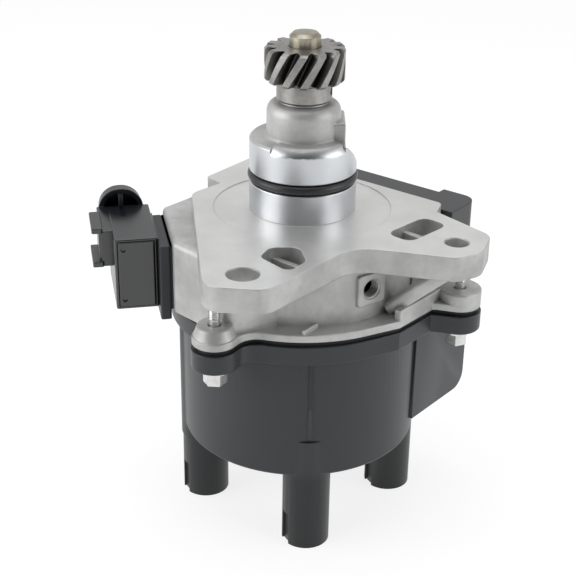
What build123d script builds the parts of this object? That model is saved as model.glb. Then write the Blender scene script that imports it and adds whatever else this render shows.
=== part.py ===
from build123d import *
import os
from math import atan2, cos, degrees, hypot, pi, radians, sin, sqrt, tan

# Ignition distributor with its own coil and igniter, in millimetres.
# The origin is on the shaft axis, on the flange face that meets the engine. +Z points into the
# engine, towards the drive gear, and the cap with its four lead towers hangs below.
# Seen along +Y, one mounting ear is near the viewer, the other is on the right, the connector is
# on the left and the coil lies behind on the right.

# Fits
seat_clearance = 0.02
running_clearance = 0.04
piece_gap = 0.3
end_float = 0.15

# Shaft and drive gear
shaft_radius = 6.0
shaft_tip_length = 5.2
shaft_tip_chamfer = 1.3
shaft_collar_radius = 8.2
shaft_collar_height = 2.5
gear_teeth = 14
gear_tip_radius = 15.4
gear_root_radius = 11.7
gear_pitch_radius = 13.7
gear_helix_angle = 28.0
gear_width = 13.1
gear_tooth_share = 0.46
gear_tip_taper = 0.52
gear_hub_radius = 10.7
gear_hub_height = 7.4
gear_pin_radius = 1.9
gear_pin_angle = -14.0
washer_thickness = 0.7
washer_radius = 10.0

# Nose and pilot that enter the engine
pilot_radius = 21.0
pilot_height = 29.3
pilot_chamfer = 0.9
nose_radius = 14.4
nose_height = 13.6
nose_top_radius = 11.2
nose_dome_height = 5.6
nose_key_width = 7.0
nose_key_reach = 18.6
nose_key_height = 8.5
nose_key_angle = -12.0
pilot_step_drop = 4.5
pilot_step_reach = 16.6
bush_wall = 2.5
core_radius = 12.5
core_top = 26.5
o_ring_centre = 13.8
o_ring_section = 3.5
o_ring_stand_out = 0.65
o_ring_groove_width = 4.4
seal_bottom = 17.0
seal_height = 7.0

# Flange
flange_thickness = 10.0
flange_apex_u = -52.0
flange_back_u = 41.0
flange_step_radius = 35.2
flange_step_depth = 0.35
ear_pitch_near = 68.9
ear_angle_near = -107.75
ear_hole_near = 5.9
ear_pitch_right = 67.2
ear_angle_right = -31.1
ear_hole_right = 4.5
pocket_length = 19.0
pocket_width = 9.5
pocket_depth = 7.6
pocket_web = 2.4
pocket_web_depth = 4.2

# Bowl of the housing
bowl_radius = 45.0
bowl_wall = 4.0
ceiling_thickness = 12.0
rim_top = -31.0
rim_thickness = 3.0
rim_radius = 52.5
cap_ear_pitch = 65.3
cap_ear_angles = (-119.2, -20.4, 131.0)
cap_ear_radius = 8.6
cap_ear_height = 9.0
joint_corner = 5.0
gusset_end = (-16.0, -46.0)
gusset_thickness = 4.5
gusset_top = -26.0
drain_pad_angle = -54.6
drain_pad_size = 13.0
drain_pad_reach = 46.9
drain_pad_centre = -18.6
drain_thread_radius = 2.5
drain_thread_depth = 8.0

# Chamber on the left that carries the igniter
wall_yaw = 191.6
wall_distance = 53.8
chamber_top = -3.4
chamber_bottom = -33.0
chamber_wall = 3.6
chamber_round = 9.0
window_length = 14.0
window_height = 12.0
window_centre = -18.5

# Bearing under the flange
bearing_radius = 16.0
bearing_width = 10.0
race_outer_bore = 13.0
race_inner_land = 9.1
ball_count = 7
ball_radius = 2.85
ball_clearance = 0.06
cage_width = 7.4
retainer_thickness = 1.6
retainer_radius = 24.0
retainer_bore = 10.5
retainer_screw_pitch = 20.0
retainer_screw_count = 3
small_screw_radius = 2.0
small_screw_head = 3.4
small_screw_head_height = 2.2
small_screw_depth = 6.0

# Signal wheels and their pickups
speed_wheel_radius = 22.0
speed_wheel_teeth = 24
speed_wheel_centre = -19.0
cylinder_wheel_radius = 19.0
cylinder_wheel_lobes = 4
cylinder_wheel_centre = -27.0
wheel_thickness = 3.0
wheel_hub_radius = 10.0
pickup_gap = 0.8
speed_pickup_angle = 142.0
cylinder_pickup_angle = -112.0
pole_width = 4.0
pole_height = 3.0
bobbin_start = 24.5
bobbin_end = 32.5
bobbin_width = 10.0
bobbin_height = 8.0
bracket_reach = 36.0
bracket_foot = 24.0
bracket_foot_start = 28.5
bracket_thickness = 2.0

# Dust cover and gasket
dust_cover_radius = 43.0
dust_cover_thickness = 2.0
dust_cover_bore = 8.5
gasket_thickness = 2.0
gasket_inner = 41.0

# Cap
cap_rim_radius = 52.8
cap_rim_height = 8.7
cap_rim_ear_radius = 9.0
cap_drum_radius = 48.3
cap_bottom = -96.0
cap_wall = 3.6
cap_floor = 8.0
cap_edge_round = 1.6
tower_pitch = 39.6
tower_radius = 9.6
tower_first_angle = -175.0
tower_count = 4
tower_end = -130.0
tower_boss_radius = 10.1
tower_boss_top = -80.0
tower_socket_radius = 5.6
tower_socket_depth = 21.0
tower_notch_height = 14.0
tower_notch_width = 5.0
tower_notch_depth = 1.2
tower_notch_angle = -152.0
terminal_radius = 2.4
terminal_top = -69.0
centre_boss_radius = 6.0
centre_boss_height = 10.0
strip_width = 4.0
strip_depth = 2.0
strip_cover = 0.6

# Rotor arm
rotor_top = -50.0
rotor_hub_radius = 11.5
rotor_blade_underside = -72.5
rotor_blade_thickness = 1.4
rotor_blade_gap = 0.9
rotor_blade_width = 9.0
rotor_arm_width = 15.0
rotor_arm_depth = 9.0
rotor_key_flat = 4.6
rotor_shaft_depth = 14.0
rotor_screw_radius = 2.0

# Brush
brush_radius = 2.3
brush_length = 8.0
brush_clearance = 0.05
brush_gap = 0.1
spring_wire = 0.5
spring_turns = 6

# Coil behind, in its own frame: u runs along the flat back of the flange, v points away from it
coil_yaw = -38.46
coil_u_low = -42.0
coil_u_high = 46.0
coil_v_front = 38.4
coil_v_back = 57.0
coil_top = -4.0
coil_end_start = 29.5
coil_end_raise = 1.2
coil_end_back = 1.2
coil_corner = 6.5
coil_flat_start = 18.0
cap_coil_bottom = -89.0
cap_coil_corner = 7.0
coil_tower_radius = 6.3
coil_tower_bottom = -60.0
coil_tower_u = 31.0
coil_tower_v = 46.0
coil_terminal_radius = 2.0
coil_screw_places = (-35.0, 38.5)
coil_screw_height = -19.0
coil_screw_radius = 2.5
core_bar_centre = 0.0
core_bar_length = 44.0
core_bar_height = 18.0
core_bar_depth = 4.6
core_leg_length = 10.0

# Screws of the cap
cap_screw_radius = 2.25
cap_screw_tip = 6.5
cap_screw_flange = 5.2
cap_screw_hex = 7.0
cap_screw_head = 4.6

# Igniter case and connector, in the frame of the chamber's wall: x outward, y to the front
gasket_plate_thickness = 0.8
gasket_plate_band = 3.2
plate_thickness = 3.5
plate_front = 14.4
plate_back = -15.5
plate_top = -5.0
plate_bottom = -37.0
plate_boss_reach = 8.0
plate_screw_radius = 1.5
plate_screw_head = 2.8
plate_screw_head_height = 2.0
case_width = 16.6
case_front = 11.8
case_back = -24.0
case_top = -4.8
case_bottom = -33.8
cover_thickness = 1.8
cover_inset = 1.1
cover_stand_out = 0.4
cover_dimple = 0.9
socket_radius = 9.2
socket_centre = 69.7
socket_wall = 1.9
socket_length = 18.0
socket_pocket = 5.2
socket_base = 2.0
socket_bottom = -27.0
socket_corner = 3.0
rib_width = 1.8
rail_plate_thickness = 1.8
rail_plate_front = 9.5
rail_reach = 83.3
rail_front = 4.5
rail_back = -17.0
rail_thickness = 2.2
rail_tops = (-5.0, -19.0)
pin_columns = (-4.5, 0.0, 4.5)
pin_rows = (-22.0, -16.0, -10.0)
pin_size = 1.4
pin_length = 7.5

# Heights worked out from the sizes above
nose_top = pilot_height + nose_height
hub_bottom = nose_top + washer_thickness + 2 * end_float
teeth_bottom = hub_bottom + gear_hub_height
gear_top = teeth_bottom + gear_width
shaft_top = gear_top + shaft_tip_length
rim_bottom = rim_top - rim_thickness
cap_top = rim_bottom - gasket_thickness
cap_rim_bottom = cap_top - cap_rim_height
ceiling = -ceiling_thickness
bearing_top = ceiling + bearing_width
bearing_centre = ceiling + bearing_width / 2
ball_pitch = (race_outer_bore + race_inner_land) / 2
cavity_floor = cap_bottom + cap_floor
coil_bay_floor = cap_coil_bottom + cap_wall + 1.0
strip_end_top = coil_bay_floor - strip_cover
strip_end_bottom = coil_bay_floor - strip_depth
brush_top = rotor_blade_underside - brush_gap
blade_reach = tower_pitch - terminal_radius - rotor_blade_gap
shaft_bottom = rotor_top - rotor_shaft_depth
bowl_inner = bowl_radius - bowl_wall
plate_start = wall_distance + gasket_plate_thickness
case_start = plate_start + plate_thickness
case_end = case_start + case_width

wall_place = Rot(0, 0, wall_yaw)
coil_place = Rot(0, 0, coil_yaw)


def cyl(radius, bottom, top, x=0.0, y=0.0):
    """Upright cylinder between two heights."""
    body = Cylinder(radius, top - bottom, align=(Align.CENTER, Align.CENTER, Align.MIN))
    return Pos(x, y, bottom) * body


def ring(outer, inner, bottom, top, x=0.0, y=0.0):
    """Upright ring between two heights."""
    return cyl(outer, bottom, top, x, y) - cyl(inner, bottom, top, x, y)


def block(x, y, z):
    """Box between pairs of limits."""
    centre = ((x[0] + x[1]) / 2, (y[0] + y[1]) / 2, (z[0] + z[1]) / 2)
    return Pos(*centre) * Box(x[1] - x[0], y[1] - y[0], z[1] - z[0])


def slab(outline, bottom, top):
    """Flat outline drawn up between two heights."""
    return Pos(0, 0, bottom) * extrude(outline, top - bottom)


def polar(radius, angle):
    """Point at a radius and an angle in degrees."""
    return radius * cos(radians(angle)), radius * sin(radians(angle))


def turned(profile):
    """Solid of revolution about the shaft axis from (radius, height) corners."""
    return revolve(Plane.XZ * make_face(Polyline(*profile, close=True)), Axis.Z)


def coil_point(u, v):
    """Point of the coil's frame in the part's frame."""
    turn = radians(coil_yaw)
    return u * cos(turn) - v * sin(turn), u * sin(turn) + v * cos(turn)


def rounded_outline(corners):
    """Closed outline from corners given as (x, y, fillet radius)."""
    points = [(x, y) for x, y, radius in corners]
    path = FilletPolyline(*points, radius=[radius for x, y, radius in corners], close=True)
    return make_face(path)


def rod(start, end, radius):
    """Round bar from one point to another."""
    start, end = Vector(*start), Vector(*end)
    plane = Plane(origin=start, z_dir=(end - start).normalized())
    return extrude(plane * Circle(radius), (end - start).length)


def standing_wall(start, end, thickness, bottom, top):
    """Upright wall between two points of the plan."""
    along = Vector(end[0] - start[0], end[1] - start[1])
    wall = block((0, along.length), (-thickness / 2, thickness / 2), (bottom, top))
    return Pos(*start, 0) * Rot(0, 0, degrees(atan2(along.Y, along.X))) * wall


def near_ear():
    return polar(ear_pitch_near, ear_angle_near)


def right_ear():
    return polar(ear_pitch_right, ear_angle_right)


def cap_ears():
    return [polar(cap_ear_pitch, angle) for angle in cap_ear_angles]


def flange_outline():
    """Cast outline of the flange: two ears, a valley between them and a flat back for the coil."""
    near_x, near_y = near_ear()
    right_x, right_y = right_ear()
    apex_x, apex_y = coil_point(flange_apex_u, coil_v_front)
    back_x, back_y = coil_point(flange_back_u, coil_v_front)
    corners = [
        (-39.8, 30.5, 1.5),
        (apex_x, apex_y, 5.0),
        (back_x, back_y, 3.0),
        (53.2, -4.8, 1.0),
        (right_x + 13.8, right_y + 7.0, 4.0),
        (right_x + 8.6, right_y - 9.2, 8.0),
        (right_x - 1.2, right_y - 14.6, 6.0),
        (19.3, -40.7, 15.0),
        (near_x + 8.8, near_y - 12.9, 9.0),
        (near_x - 13.6, near_y - 10.6, 8.0),
        (-44.8, 11.6, 8.0),
        (-33.6, 23.5, 1.0),
    ]
    return rounded_outline(corners)


def pocket(x, y, angle):
    """Lightening pocket of the flange, with a low web left across it."""
    outline = SlotOverall(pocket_length, pocket_width)
    hollow = slab(outline, -pocket_depth, 1.0)
    web = block((-pocket_web / 2, pocket_web / 2), (-pocket_width, pocket_width),
                (-pocket_depth, -pocket_web_depth))
    return Pos(x, y, 0) * Rot(0, 0, angle) * (hollow - web)


def joint_outline(radius, ear_radius, grow=0.0):
    """Outline of the joint between housing and cap: bowl, coil bay and three screw ears."""
    length = coil_u_high - coil_u_low + 2 * grow
    depth = coil_v_back - coil_flat_start + grow
    middle = (coil_u_high + coil_u_low) / 2
    bay = coil_place * Pos(middle, coil_flat_start + depth / 2) * RectangleRounded(length, depth, 4.0)
    outline = Circle(radius) + bay
    for angle in cap_ear_angles:
        outline += Rot(0, 0, angle) * ear_outline(radius, ear_radius)
    return outline


def ear_outline(radius, ear_radius):
    """Screw ear on a round rim, with a hollow corner on each side, drawn along X."""
    side = ear_radius + joint_corner
    reach = sqrt((radius + joint_corner) ** 2 - side ** 2)
    root = Pos(reach / 2, 0) * Rectangle(reach, 2 * side)
    for y in (-side, side):
        root -= Pos(reach, y) * Circle(joint_corner)
    arm = Pos(cap_ear_pitch / 2, 0) * Rectangle(cap_ear_pitch, 2 * ear_radius)
    return root + arm + Pos(cap_ear_pitch, 0) * Circle(ear_radius)


def chamber_outline(inset=0.0):
    """Plan of the chamber beside the bowl, whose left wall carries the igniter."""
    left = wall_distance - inset
    corners = [
        (left, -16.6 + inset, 1.0),
        (left, 19.8 - inset, 3.0),
        (left - 17.0, 46.0 - 1.6 * inset, 4.0),
        (12.0, 40.0 - 1.6 * inset, 1.0),
        (12.0, -30.0 + inset, 1.0),
        (27.5, -37.5 + inset, 1.0),
    ]
    return wall_place * rounded_outline(corners)


def housing():
    """Die-cast housing: nose, pilot, flange, bowl, igniter chamber and the ears for the cap."""
    groove_floor = pilot_radius + o_ring_stand_out - o_ring_section - seat_clearance
    groove = o_ring_groove_width / 2
    stem = turned([
        (0, ceiling), (pilot_radius, ceiling), (pilot_radius, o_ring_centre - groove),
        (groove_floor, o_ring_centre - groove), (groove_floor, o_ring_centre + groove),
        (pilot_radius, o_ring_centre + groove), (pilot_radius, pilot_height - pilot_chamfer),
        (pilot_radius - pilot_chamfer, pilot_height), (0, pilot_height)])
    dome = nose_top - nose_dome_height
    bulge = ((nose_radius + nose_top_radius) / 2 + 0.9, nose_top - nose_dome_height / 2 + 0.8)
    nose_edge = [
        Line((0, pilot_height - 1), (nose_radius, pilot_height - 1)),
        Line((nose_radius, pilot_height - 1), (nose_radius, dome)),
        ThreePointArc((nose_radius, dome), bulge, (nose_top_radius, nose_top)),
        Line((nose_top_radius, nose_top), (0, nose_top)),
        Line((0, nose_top), (0, pilot_height - 1)),
    ]
    nose = revolve(Plane.XZ * make_face(nose_edge), Axis.Z)
    key = block((0, nose_key_reach), (-nose_key_width / 2, nose_key_width / 2),
                (pilot_height - 1, pilot_height + nose_key_height))
    key = chamfer(key.edges().filter_by(Axis.Y).sort_by(Axis.X)[-2:].sort_by(Axis.Z)[-1], 2.0)
    nose += Rot(0, 0, nose_key_angle) * key
    step = block((pilot_step_reach, pilot_radius + 1), (-pilot_radius, pilot_radius),
                 (pilot_height - pilot_step_drop, pilot_height + 1))
    stem -= Rot(0, 0, 8.0) * step

    body = slab(flange_outline(), -flange_thickness, 0)
    bowl = cyl(bowl_radius, rim_top, -flange_thickness)
    bowl &= coil_place * block((-60, 60), (-60, coil_v_front), (rim_top, -flange_thickness))
    back_wall = coil_place * block((coil_u_low + 3, coil_u_high - 4), (coil_flat_start, coil_v_front),
                                   (rim_top, -flange_thickness))
    chamber = slab(chamber_outline(), chamber_bottom, chamber_top)
    front_edge = chamber.edges().group_by(Axis.Z)[-1]
    front_edge = [edge for edge in front_edge if is_chamber_front(edge)]
    chamber = fillet(front_edge, chamber_round)
    rim = slab(joint_outline(rim_radius, cap_ear_radius), rim_bottom, rim_top)
    body = body + bowl + back_wall + chamber + rim + stem + nose

    for x, y in cap_ears():
        body += cyl(cap_ear_radius, rim_bottom, rim_bottom + cap_ear_height, x, y)
    body += standing_wall(cap_ears()[0], gusset_end, gusset_thickness, rim_bottom, gusset_top)
    body += rod((33.0, -31.5, rim_top), (55.0, -41.0, -9.0), 3.8)
    pad = block((bowl_inner - 3.5, drain_pad_reach), (-drain_pad_size / 2, drain_pad_size / 2),
                (drain_pad_centre - drain_pad_size / 2, drain_pad_centre + drain_pad_size / 2))
    pad = fillet(pad.edges().filter_by(Axis.X), 1.5)
    hollow = cyl(bowl_inner, rim_bottom - 1, ceiling)
    hollow &= coil_place * block((-60, 60), (-60, coil_v_front - bowl_wall), (rim_bottom - 1, ceiling))
    chamber_hollow = slab(chamber_outline(chamber_wall), chamber_bottom + chamber_wall,
                          chamber_top - chamber_wall - 1)
    body = body - hollow - chamber_hollow
    body += Rot(0, 0, drain_pad_angle) * pad
    return drilled(body)


def is_chamber_front(edge):
    """True for the top edge of the chamber's front wall, which is rounded over."""
    middle = edge.center()
    return middle.Y < -28 and middle.X < -30


def drilled(body):
    """Machined bores, holes and seats of the housing."""
    body -= cyl(bearing_radius + seat_clearance, ceiling - 1, bearing_top)
    body -= cyl(core_radius, bearing_top - 1, core_top)
    body -= cyl(shaft_radius + bush_wall, core_top - 1, nose_top + 1)
    for (x, y), radius in ((near_ear(), ear_hole_near), (right_ear(), ear_hole_right)):
        body -= cyl(radius, -flange_thickness - 1, 1, x, y)
    body -= pocket(43.8, -22.8, 47.0)
    body -= pocket(-6.0, -51.0, -7.0)
    body -= ring(flange_step_radius, pilot_radius, -flange_step_depth, 1)
    drain = rod((drain_pad_reach + 1, 0, drain_pad_centre),
                (drain_pad_reach - drain_thread_depth, 0, drain_pad_centre), drain_thread_radius)
    body -= Rot(0, 0, drain_pad_angle) * drain
    for x, y in cap_ears():
        body -= cyl(cap_screw_radius + seat_clearance, rim_bottom - 1,
                    rim_bottom + cap_ear_height + cap_screw_tip + 1, x, y)
    for x, y in retainer_screw_places():
        body -= cyl(small_screw_radius + seat_clearance, ceiling - 1, ceiling + small_screw_depth, x, y)
    for angle in (speed_pickup_angle, cylinder_pickup_angle):
        for x, y in bracket_screw_places(angle):
            body -= cyl(small_screw_radius + seat_clearance, ceiling - 1,
                        ceiling + small_screw_depth, x, y)
    body -= cyl(dust_cover_radius + piece_gap, rim_bottom - 1, rim_bottom + dust_cover_thickness)
    body -= coil_place * cyl(coil_tower_radius + piece_gap, rim_bottom - 1, rim_top + 1,
                             coil_tower_u, coil_tower_v)
    for u in coil_screw_places:
        body -= coil_place * rod((u, coil_v_front + 1, coil_screw_height),
                                 (u, coil_v_front - 9, coil_screw_height),
                                 coil_screw_radius + seat_clearance)
    window = block((wall_distance - 12, wall_distance + 1), (-window_length / 2, window_length / 2),
                   (window_centre - window_height / 2, window_centre + window_height / 2))
    body -= wall_place * window
    for y, z in module_screw_places():
        body -= wall_place * rod((wall_distance + 1, y, z), (wall_distance - 9, y, z),
                                 plate_screw_radius + seat_clearance)
    return body


def retainer_screw_places():
    return [polar(retainer_screw_pitch, 90 + 360 / retainer_screw_count * i)
            for i in range(retainer_screw_count)]


def bracket_screw_places(angle):
    """Two screws in the foot of a pickup bracket."""
    middle = (bracket_foot_start + bracket_reach) / 2
    side = bracket_foot / 2 - small_screw_head + 0.4
    radius = hypot(middle, side)
    spread = degrees(atan2(side, middle))
    return [polar(radius, angle - spread), polar(radius, angle + spread)]


def module_screw_places():
    """Screws of the igniter plate, on both sides of the window, in the wall's frame."""
    side = window_length / 2 + plate_screw_head + piece_gap
    return [(-side, window_centre), (side, window_centre)]


def tooth_outline():
    """One gear tooth in the plane across the axis, from the root circle out."""
    root_half = gear_tooth_share * 360 / gear_teeth * 0.82
    pitch_half = gear_tooth_share * 360 / gear_teeth / 2
    tip_half = pitch_half * gear_tip_taper
    inner = gear_root_radius - 1.0
    root_a, root_b = polar(gear_root_radius, -root_half), polar(gear_root_radius, root_half)
    pitch_a, pitch_b = polar(gear_pitch_radius, -pitch_half), polar(gear_pitch_radius, pitch_half)
    tip_a, tip_b = polar(gear_tip_radius, -tip_half), polar(gear_tip_radius, tip_half)
    deep_a, deep_b = polar(inner, -root_half), polar(inner, root_half)
    return make_face([
        Line(deep_a, root_a), ThreePointArc(root_a, pitch_a, tip_a),
        ThreePointArc(tip_a, (gear_tip_radius, 0), tip_b), ThreePointArc(tip_b, pitch_b, root_b),
        Line(root_b, deep_b), Line(deep_b, deep_a)])


def drive_gear():
    """Helical gear cut in one piece with its hub, with a hole for the cross pin."""
    outline = Circle(gear_root_radius)
    for i in range(gear_teeth):
        outline += Rot(0, 0, 360 / gear_teeth * i) * tooth_outline()
    twist = degrees(gear_width * tan(radians(gear_helix_angle)) / gear_pitch_radius)
    teeth = Solid.extrude_linear_with_rotation(
        outline.face(), center=(0, 0, 0), normal=(0, 0, gear_width), angle=twist)
    gear = Pos(0, 0, teeth_bottom) * Part(teeth.wrapped)
    gear += cyl(gear_hub_radius, hub_bottom, teeth_bottom)
    gear -= cyl(shaft_radius + seat_clearance, hub_bottom - 1, gear_top + 1)
    return gear - pin_rod(gear_pin_radius + seat_clearance, gear_hub_radius + 1)


def pin_rod(radius, reach):
    """Round bar across the gear hub and the shaft."""
    height = hub_bottom + gear_hub_height * 0.55
    bar = rod((-reach, 0, height), (reach, 0, height), radius)
    return Rot(0, 0, gear_pin_angle) * bar


def gear_pin():
    """Spring pin that locks the gear on the shaft."""
    return pin_rod(gear_pin_radius, gear_hub_radius - 0.6)


def thrust_washer():
    """Washer between the gear hub and the nose."""
    return ring(washer_radius, shaft_radius + 0.1, nose_top + end_float,
                nose_top + end_float + washer_thickness)


def shaft():
    """Shaft from the gear down to the rotor arm, with a collar under the bearing."""
    body = cyl(shaft_radius, shaft_bottom, shaft_top)
    body = chamfer(body.edges().sort_by(Axis.Z)[-1], shaft_tip_chamfer)
    body += cyl(shaft_collar_radius, ceiling - shaft_collar_height, ceiling)
    body -= rotor_key(shaft_radius + 1)
    return body - pin_rod(gear_pin_radius + seat_clearance, shaft_radius + 1)


def rotor_key(reach, clearance=0.0):
    """The part of the shaft end that is cut away to a flat for the rotor arm."""
    flat = rotor_key_flat + clearance
    return block((-reach, -flat), (-reach, reach), (shaft_bottom - 1, rotor_top))


def nose_bush():
    """Sintered bush pressed in the nose, where the shaft runs."""
    return ring(shaft_radius + bush_wall, shaft_radius + running_clearance, core_top + 0.5, nose_top)


def shaft_oil_seal():
    """Lip seal that keeps engine oil out of the bowl."""
    case = core_radius - seat_clearance
    lip = shaft_radius + running_clearance
    top = seal_bottom + seal_height
    return turned([
        (lip, seal_bottom + 2.0), (lip + 0.8, seal_bottom), (lip + 2.2, seal_bottom + 2.2),
        (lip + 2.2, top - 1.6), (case - 1.2, top - 1.6), (case - 1.2, seal_bottom),
        (case, seal_bottom), (case, top), (lip + 1.0, top), (lip + 1.0, seal_bottom + 3.4)])


def pilot_o_ring():
    """O-ring in the groove of the pilot."""
    section = o_ring_section / 2
    centre = pilot_radius + o_ring_stand_out - section
    return Pos(0, 0, o_ring_centre) * Torus(centre, section)


def ball_places():
    return [polar(ball_pitch, 360 / ball_count * i) for i in range(ball_count)]


def race_groove():
    """Track that the balls run in."""
    return Pos(0, 0, bearing_centre) * Torus(ball_pitch, ball_radius + ball_clearance)


def bearing_outer_race():
    body = ring(bearing_radius, race_outer_bore, ceiling, bearing_top)
    return body - race_groove()


def bearing_inner_race():
    body = ring(race_inner_land, shaft_radius + seat_clearance, ceiling, bearing_top)
    return body - race_groove()


def bearing_balls():
    return Compound([Pos(x, y, bearing_centre) * Sphere(ball_radius) for x, y in ball_places()])


def bearing_cage():
    """Cage that spaces the balls."""
    margin = 0.9
    body = ring(race_outer_bore - margin, race_inner_land + margin,
                bearing_centre - cage_width / 2, bearing_centre + cage_width / 2)
    for x, y in ball_places():
        centre = Vector(x, y, 0)
        inner, outer = centre * 0.6, centre * 1.4
        body -= rod((inner.X, inner.Y, bearing_centre), (outer.X, outer.Y, bearing_centre),
                    ball_radius + ball_clearance)
    return body


def bearing_retainer():
    """Plate screwed under the bearing."""
    plate = ring(retainer_radius, retainer_bore, ceiling - retainer_thickness, ceiling)
    for x, y in retainer_screw_places():
        plate -= cyl(small_screw_radius + seat_clearance, ceiling - 5, ceiling + 1, x, y)
    return plate


def hanging_screw(x, y, seat):
    """Pan-head screw driven upwards, its head under a seat."""
    head = cyl(small_screw_head, seat - small_screw_head_height, seat, x, y)
    head = fillet(head.edges().sort_by(Axis.Z)[0], 0.7)
    return head + cyl(small_screw_radius, seat, ceiling + small_screw_depth - 0.3, x, y)


def retainer_screws():
    seat = ceiling - retainer_thickness
    return Compound([hanging_screw(x, y, seat) for x, y in retainer_screw_places()])


def wheel_disc(outline, centre, hub_bottom_height, hub_top_height):
    """Toothed steel disc on a hub that is pressed on the shaft."""
    wheel = slab(outline, centre - wheel_thickness / 2, centre + wheel_thickness / 2)
    wheel += cyl(wheel_hub_radius, hub_bottom_height, hub_top_height)
    return wheel - cyl(shaft_radius + seat_clearance, hub_bottom_height - 1, hub_top_height + 1)


def speed_wheel():
    """Crank-angle signal wheel with evenly spaced square teeth."""
    outline = Circle(speed_wheel_radius)
    pitch = 2 * pi * speed_wheel_radius / speed_wheel_teeth
    notch = Pos(speed_wheel_radius, 0) * Rectangle(6.0, pitch * 0.5)
    for i in range(speed_wheel_teeth):
        outline -= Rot(0, 0, 360 / speed_wheel_teeth * (i + 0.5)) * notch
    middle = (speed_wheel_centre + cylinder_wheel_centre) / 2
    return wheel_disc(outline, speed_wheel_centre, middle, ceiling - shaft_collar_height)


def cylinder_wheel():
    """Cylinder signal wheel with one pointed lobe for each cylinder."""
    outline = Circle(cylinder_wheel_radius - 5.0)
    half = 5.5
    lobe = make_face(Polyline((cylinder_wheel_radius, -1.2), (cylinder_wheel_radius, 1.2),
                              (8.0, half), (8.0, -half), close=True))
    for i in range(cylinder_wheel_lobes):
        outline += Rot(0, 0, 360 / cylinder_wheel_lobes * i + speed_pickup_angle) * lobe
    middle = (speed_wheel_centre + cylinder_wheel_centre) / 2
    return wheel_disc(outline, cylinder_wheel_centre, cylinder_wheel_centre - 3.0, middle)


def pickups():
    """Angle, height and pole start of the two pickups."""
    return ((speed_pickup_angle, speed_wheel_centre, speed_wheel_radius + pickup_gap),
            (cylinder_pickup_angle, cylinder_wheel_centre, cylinder_wheel_radius + pickup_gap))


def pickup_pole(height, start):
    """Iron pole, its upright and its foot, bent from one strip."""
    pole = block((start, bracket_reach), (-pole_width / 2, pole_width / 2),
                 (height - pole_height / 2, height + pole_height / 2))
    upright = block((bracket_reach - 2.5, bracket_reach), (-pole_width, pole_width),
                    (height - pole_height / 2, ceiling))
    foot = block((bracket_foot_start, bracket_reach), (-bracket_foot / 2, bracket_foot / 2),
                 (ceiling - bracket_thickness, ceiling))
    foot = fillet(foot.edges().filter_by(Axis.Z), 2.0)
    return pole + upright + foot


def pickup_poles():
    poles = []
    for angle, height, start in pickups():
        pole = Rot(0, 0, angle) * pickup_pole(height, start)
        for x, y in bracket_screw_places(angle):
            pole -= cyl(small_screw_radius + seat_clearance, ceiling - 5, ceiling + 1, x, y)
        poles.append(pole)
    return Compound(poles)


def pickup_coil(index):
    """Bobbin with its winding, on the pole."""
    angle, height, start = pickups()[index]
    gap = seat_clearance
    body = block((bobbin_start, bobbin_end), (-bobbin_width / 2, bobbin_width / 2),
                 (height - bobbin_height / 2, height + bobbin_height / 2))
    body = fillet(body.edges().filter_by(Axis.X), 1.2)
    waist = block((bobbin_start + 1.2, bobbin_end - 1.2),
                  (-bobbin_width / 2 - 1, bobbin_width / 2 + 1),
                  (height - bobbin_height / 2 - 1, height + bobbin_height / 2 + 1))
    winding = block((bobbin_start + 1.2, bobbin_end - 1.2),
                    (-bobbin_width / 2 + 0.7, bobbin_width / 2 - 0.7),
                    (height - bobbin_height / 2 + 0.7, height + bobbin_height / 2 - 0.7))
    body = (body - waist) + winding
    body -= block((bobbin_start - 1, bobbin_end + 1), (-pole_width / 2 - gap, pole_width / 2 + gap),
                  (height - pole_height / 2 - gap, height + pole_height / 2 + gap))
    return Rot(0, 0, angle) * body


def pickup_screws():
    seat = ceiling - bracket_thickness
    screws = []
    for angle in (speed_pickup_angle, cylinder_pickup_angle):
        screws += [hanging_screw(x, y, seat) for x, y in bracket_screw_places(angle)]
    return Compound(screws)


def dust_cover():
    """Dished plate that closes the bowl under the signal wheels."""
    body = ring(dust_cover_radius, dust_cover_bore, rim_bottom, rim_bottom + dust_cover_thickness)
    body -= ring(dust_cover_radius - 6.0, dust_cover_bore + 5.0, rim_bottom - 1, rim_bottom + 0.8)
    return body


def cap_gasket():
    """Rubber gasket in the joint, around the bowl and the coil bay."""
    body = slab(joint_outline(rim_radius - 2.2, cap_ear_radius - 1.8, -2.2), cap_top, rim_bottom)
    body -= cyl(gasket_inner, cap_top - 1, rim_bottom + 1)
    body -= coil_bay(cap_wall + 1.0, cap_top - 1, rim_bottom + 1, cap_drum_radius)
    for x, y in cap_ears():
        body -= cyl(cap_screw_radius + piece_gap, cap_top - 1, rim_bottom + 1, x, y)
    return body


def coil_bay(wall, bottom, top, clear_radius):
    """Room for the coil's tower beside the drum."""
    room = coil_place * block((coil_u_low + wall, coil_u_high - wall),
                              (coil_flat_start, coil_v_back - wall), (bottom, top))
    return room - cyl(clear_radius, bottom - 1, top + 1)


def tower_places():
    return [(tower_first_angle + 360 / tower_count * i) for i in range(tower_count)]


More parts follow.
